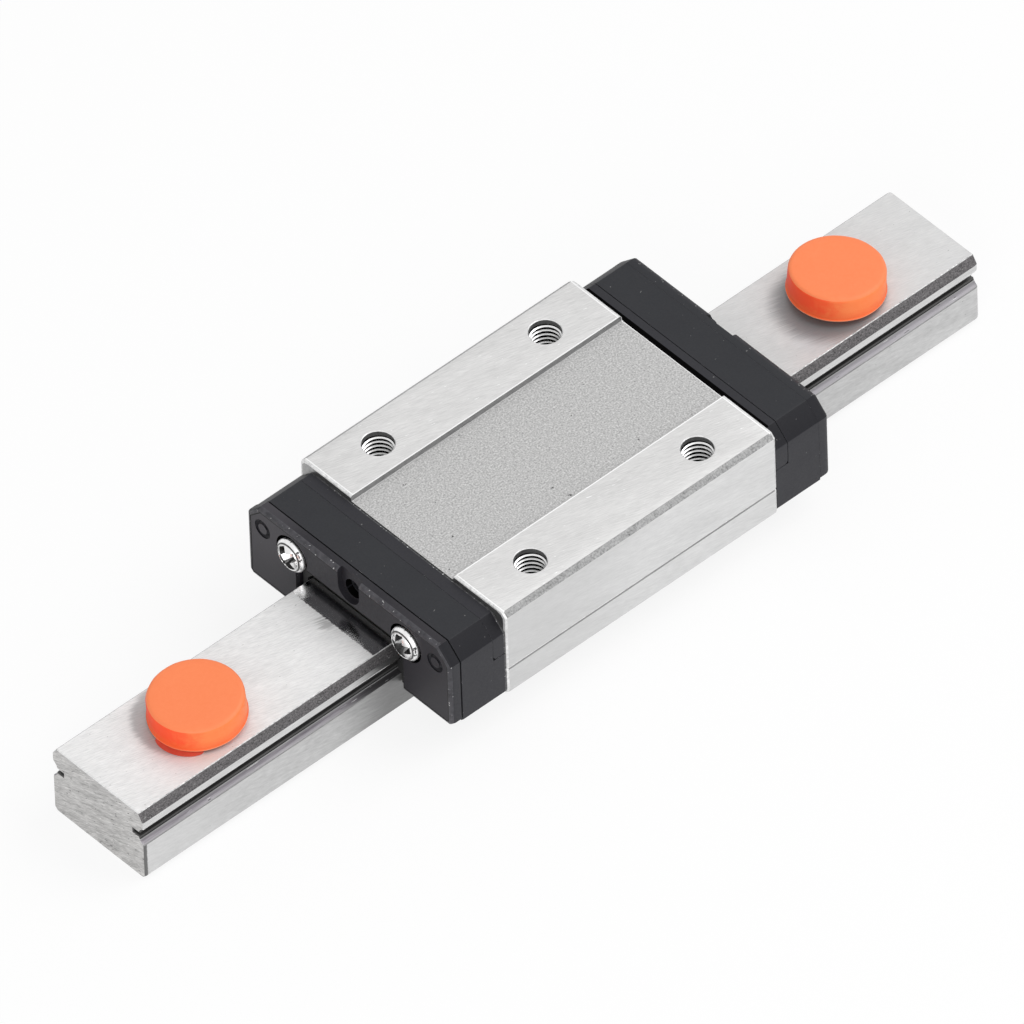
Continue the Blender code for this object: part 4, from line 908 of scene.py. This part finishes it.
lip_mesh, screw_mesh = lip_piece_mesh(), screw_piece_mesh()
for end, turn, direction in (("far", 0.0, 1), ("near", math.pi, -1)):
    if end == "far":
        frame_mesh, cap_mesh = frame_piece_mesh(0.6), cap_piece_mesh(FACE_GAP)
        seal_mesh = seal_piece_mesh(CAP_OUT + 0.01, END_TOP, 0.0, 0.62, 2.1)
        rim, plate, plate_edge, cap_ease, meets = black_shade, cap_plastic, far_edge, 0.02, meets_recess
    else:
        frame_mesh, cap_mesh = frame_piece_mesh(RIM), cap_piece_mesh(0.03)
        seal_mesh = seal_piece_mesh(SEAL_IN, END_TOP + FACE_GAP, 0.15, 0.42, 1.4)
        rim, plate, plate_edge, cap_ease, meets = rubbed_rim, seal_plastic, seal_edge_dust_highlit, 0.07, meets_block
    # Painted shade on the sloped shoulders and painted light on the upright sides; at the far end the band
    # that meets the block is painted black shade.
    for mesh in (frame_mesh, cap_mesh, seal_mesh):
        paint(mesh, SHADED_SLOPE, slopes)
        paint(mesh, LIT_SIDE, stands)
    for mesh in (frame_mesh, cap_mesh):
        paint(mesh, MEETING, meets)
    tones = [black_shade, shoulder_shade, side_lit, rim, lip_rubber]
    piece(f"frame_{end}", frame_mesh, [frame_plastic, cap_edge_dust_highlit] + tones, "carriage", f"return_frame_{end}",
          turn=turn, ease=(0.05, EDGE))
    piece(f"cap_{end}", cap_mesh, [cap_plastic, cap_edge_dust_highlit] + tones, "carriage", f"end_cap_{end}",
          turn=turn, ease=(cap_ease, EDGE))
    piece(f"seal_{end}", seal_mesh, [plate, plate_edge] + tones, "carriage", f"seal_plate_{end}", turn=turn)
    piece(f"lip_{end}", lip_mesh, [lip_rubber], "carriage", f"seal_lip_{end}", turn=turn, ease=(0.05,))
    for side, hand, spin in (("left", 1, 38), ("right", -1, 12)):
        place = (direction * (SCREW_SEAT + FACE_GAP), hand * SCREW_Y, SCREW_Z)
        spun = Matrix.Rotation(math.radians(spin), 4, "X")
        piece(f"screw_{end}_{side}", screw_mesh, [screw_chrome, screw_cross_shade], "carriage",
              f"cap_screw_{end}_{side}", turn=turn, at=place, smooth=40, tilt=spun)


# Balls and wires

def ball_chain_points():
    """Centres of the returning balls on the +Y side, out through one turn and in through the other."""
    first, spacing = 17.2125, 1.97
    lead = FRAME_OUT - first
    turn = math.pi * TURN_R
    bore_start, bore_end = turn, turn + 2 * FRAME_OUT
    length = bore_end + turn + 2 * lead
    gaps = math.ceil(length / spacing)
    points = []
    for i in range(gaps + 1):
        s = i * length / gaps - lead
        if s < 0:
            x, y = FRAME_OUT + s, BALL_Y
        elif s < bore_start:
            a = s / TURN_R
            x, y = FRAME_OUT + TURN_R * math.sin(a), BALL_Y + TURN_R * (1 - math.cos(a))
        elif s < bore_end:
            x, y = FRAME_OUT - (s - bore_start), RETURN_Y
        elif s < bore_end + turn:
            a = (s - bore_end) / TURN_R
            x, y = -FRAME_OUT - TURN_R * math.sin(a), BALL_Y + TURN_R * (1 + math.cos(a))
        else:
            x, y = -FRAME_OUT + (s - bore_end - turn), BALL_Y
        points.append((x, y, BALL_Z))
    return points


def add_balls(bm, centres, radius):
    for centre in centres:
        place = Matrix.Translation(centre)
        bmesh.ops.create_uvsphere(bm, u_segments=20, v_segments=12, radius=radius, matrix=place)


LOADED, LOADED_PITCH = 16, 2.025
one_ball = mesh_of("ball", add_balls, [(0, 0, 0)], BALL_R)
chain = mesh_of("ball chain", add_balls, ball_chain_points(), BALL_R * 0.975)
for side, hand, turn in (("left", 1, 0.0), ("right", -1, math.pi)):
    piece(f"balls_{side}", chain, [ball_steel], "carriage", f"return_balls_{side}", turn=turn, smooth=60)
    for number in range(1, LOADED + 1):
        place = ((number - (LOADED + 1) / 2) * LOADED_PITCH, hand * BALL_Y, BALL_Z)
        name = f"ball_{side}_{number:02d}"
        piece(name, one_ball, [ball_steel], "carriage", f"load_{name}", at=place, smooth=60)
for name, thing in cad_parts.items():
    if name.startswith("retainer_wire"):
        for slot in thing.material_slots:
            slot.material = wire_steel


# Plugs

def plug_mesh(seed):
    """A moulded push-in plug: crowned head, rounded shoulder, line at the rim and a chamfered stem."""
    top, wall, line = 0, 1, 2
    stem = [(0, -4.0), (1.3, -4.0), (1.7, -3.6), (1.7, -0.25), (1.95, 0.0)]
    rim = [(PLUG_WALL_R, 0.0), (PLUG_R, 0.05), (PLUG_R, 0.13), (4.48, 0.2)]
    side = [(4.46, 0.8), (4.44, 1.4), (PLUG_WALL_R, PLUG_HEIGHT - PLUG_ROUND)]
    shoulder = arc((PLUG_WALL_R - PLUG_ROUND, PLUG_HEIGHT - PLUG_ROUND), PLUG_ROUND, 0, 90, 6)[1:]
    crown = [(3.2, 2.495), (2.0, 2.485), (0.9, 2.48), (0, 2.48)]
    # The rim line is painted lighter as a highlight.
    finishes = [wall] * 6 + [line] + [wall] * 6 + [top] * 8
    mesh = mesh_of("plug", add_lathe, stem + rim + side + shoulder + crown, Matrix(), 96, finishes)
    chance = random.Random(seed)
    waves = [(chance.uniform(0.2, 1.0), chance.randint(2, 7), chance.uniform(0, math.tau)) for _ in range(4)]
    for vertex in mesh.vertices:
        x, y, z = vertex.co * 1000
        radius, angle = math.hypot(x, y), math.atan2(y, x)
        if radius > 4.0 and z > -0.1:
            wobble = sum(height * math.sin(count * angle + phase) for height, count, phase in waves) * 0.012
            vertex.co.x *= 1 - abs(wobble) / radius
            vertex.co.y *= 1 - abs(wobble) / radius
    return mesh


def reflection_sheet_mesh(centre, span, reach):
    """A thin dark-red sheet on the rail beside a head, widest in the middle of its span: a painted reflection
    of the plug's wall.
    """
    bm = bmesh.new()
    rings, steps = [], 24
    for i in range(steps + 1):
        share = i / steps * 2 - 1
        angle = math.radians(centre + span * share)
        out = 4.5 + reach * (1 - share * share) ** 0.6
        section = [(4.3, 0.0), (out, -0.03), (out, 0.0), (0.5 * (4.5 + out), 0.07), (4.4, 0.1)]
        rings.append([bm.verts.new((r * math.cos(angle), r * math.sin(angle), z)) for r, z in section])
    for near, far in zip(rings, rings[1:]):
        for i in range(len(near)):
            bm.faces.new((near[i - 1], near[i], far[i], far[i - 1]))
    bm.faces.new(rings[0])
    bm.faces.new(rings[-1])
    return in_metres("plug_reflection_sheet", bm)


PLUG_SEAT = RAIL_TOP + 0.06
for name, (x, y), lean, seed in (("near", PLUG_NEAR, -4.1, 3), ("far", PLUG_FAR, 4.6, 7)):
    lean = math.radians(lean)
    lift = PLUG_R * math.sin(abs(lean))
    piece(f"plug_{name}_head", plug_mesh(seed), [plug_plastic, plug_wall, plug_rim_highlight], f"plug_{name}",
          f"plug_{name}", at=(x, y, PLUG_SEAT + lift), tilt=Matrix.Rotation(lean, 4, "Y"), smooth=25)
# The near plug's reflection in the rail, painted on a thin sheet laid round part of its foot.
reflection_place = (*PLUG_NEAR, PLUG_SEAT - 0.02)
piece("plug_near_reflection", reflection_sheet_mesh(204, 31, 0.6), [plug_reflection_paint], "plug_near", at=reflection_place, smooth=25)


# Stage, light and camera

def seen_directly(tree):
    """1 for what the camera or a reflection sees, 0 for what only lights the scene."""
    path = add_node(tree, "ShaderNodeLightPath").outputs
    return add_sum(tree, "MAXIMUM", path["Is Camera Ray"], path["Is Glossy Ray"])


def stage_floor():
    """A pale floor a hair below the rail, white where it is seen, which keeps the soft shadow."""
    far = 3.0
    mesh = bpy.data.meshes.new("floor")
    mesh.from_pydata([(-far, -far, 0), (far, -far, 0), (far, far, 0), (-far, far, 0)], [], [(0, 1, 2, 3)])
    floor = add_object("floor", mesh)
    floor.location = (0, 0, -0.00002)
    material = bpy.data.materials.new("pale floor")
    material.use_nodes = True
    tree = material.node_tree
    shader = tree.nodes["Principled BSDF"]
    shader.inputs["Base Color"].default_value = (*grey(0.93), 1)
    shader.inputs["Roughness"].default_value = 0.9
    shader.inputs["Specular IOR Level"].default_value = 0.0
    glow = add_node(tree, "ShaderNodeEmission", {"Color": (1, 1, 1, 1), "Strength": 1.0})
    share = add_sum(tree, "MULTIPLY", seen_directly(tree), 0.85)
    mix = add_node(tree, "ShaderNodeMixShader", {0: share, 1: shader.outputs[0], 2: glow.outputs[0]})
    tree.links.new(mix.outputs[0], tree.nodes["Material Output"].inputs["Surface"])
    mesh.materials.append(material)


def soft_light(name, size, power, place, target=(0, 0, 0.005)):
    """A round soft light that looks at the part."""
    lamp = bpy.data.lights.new(name, "AREA")
    lamp.shape, lamp.size, lamp.energy = "DISK", size, power
    thing = add_object(name, lamp)
    thing.location = place
    thing.rotation_euler = (Vector(target) - Vector(place)).to_track_quat("-Z", "Y").to_euler()


def studio():
    """A white room, dimmer as a light than it looks, with a key light and a fill."""
    world = bpy.data.worlds.new("studio")
    bpy.context.scene.world = world
    world.use_nodes = True
    tree = world.node_tree
    back = tree.nodes["Background"]
    level = add_node(tree, "ShaderNodeMapRange", {"Value": seen_directly(tree), "To Min": 0.6, "To Max": 1.0})
    back.inputs["Color"].default_value = (1, 1, 1, 1)
    tree.links.new(level.outputs["Result"], back.inputs["Strength"])
    soft_light("key softbox", 0.5, 1.35, (0.3, -0.16, 0.45))
    soft_light("front fill", 0.4, 1.1, (-0.4, -0.34, 0.26))


def photo_camera():
    """The photograph's viewpoint, a long lens from above the near end, in metres and radians."""
    photo_width, focal_pixels, film_width = 1024, 42291.8, 36.0
    yaw, pitch, roll = 0.85854, 0.79903, -0.03604
    eye = (-1.709886 + CARRIAGE_X * 0.001, -1.976471, 2.690424)
    camera = bpy.data.cameras.new("camera")
    camera.sensor_width = film_width
    camera.lens = focal_pixels * film_width / photo_width
    camera.clip_start, camera.clip_end = 0.5, 20.0
    thing = add_object("camera", camera)
    ahead = Vector((math.cos(pitch) * math.cos(yaw), math.cos(pitch) * math.sin(yaw), -math.sin(pitch)))
    right = Vector((math.sin(yaw), -math.cos(yaw), 0))
    up = right.cross(ahead)
    across = right * math.cos(roll) + up * math.sin(roll)
    upward = up * math.cos(roll) - right * math.sin(roll)
    turn = Matrix((across, upward, -ahead)).transposed()
    thing.matrix_world = Matrix.Translation(eye) @ turn.to_4x4()
    bpy.context.scene.camera = thing


stage_floor()
studio()
photo_camera()
bpy.context.scene.view_settings.view_transform = "Standard"
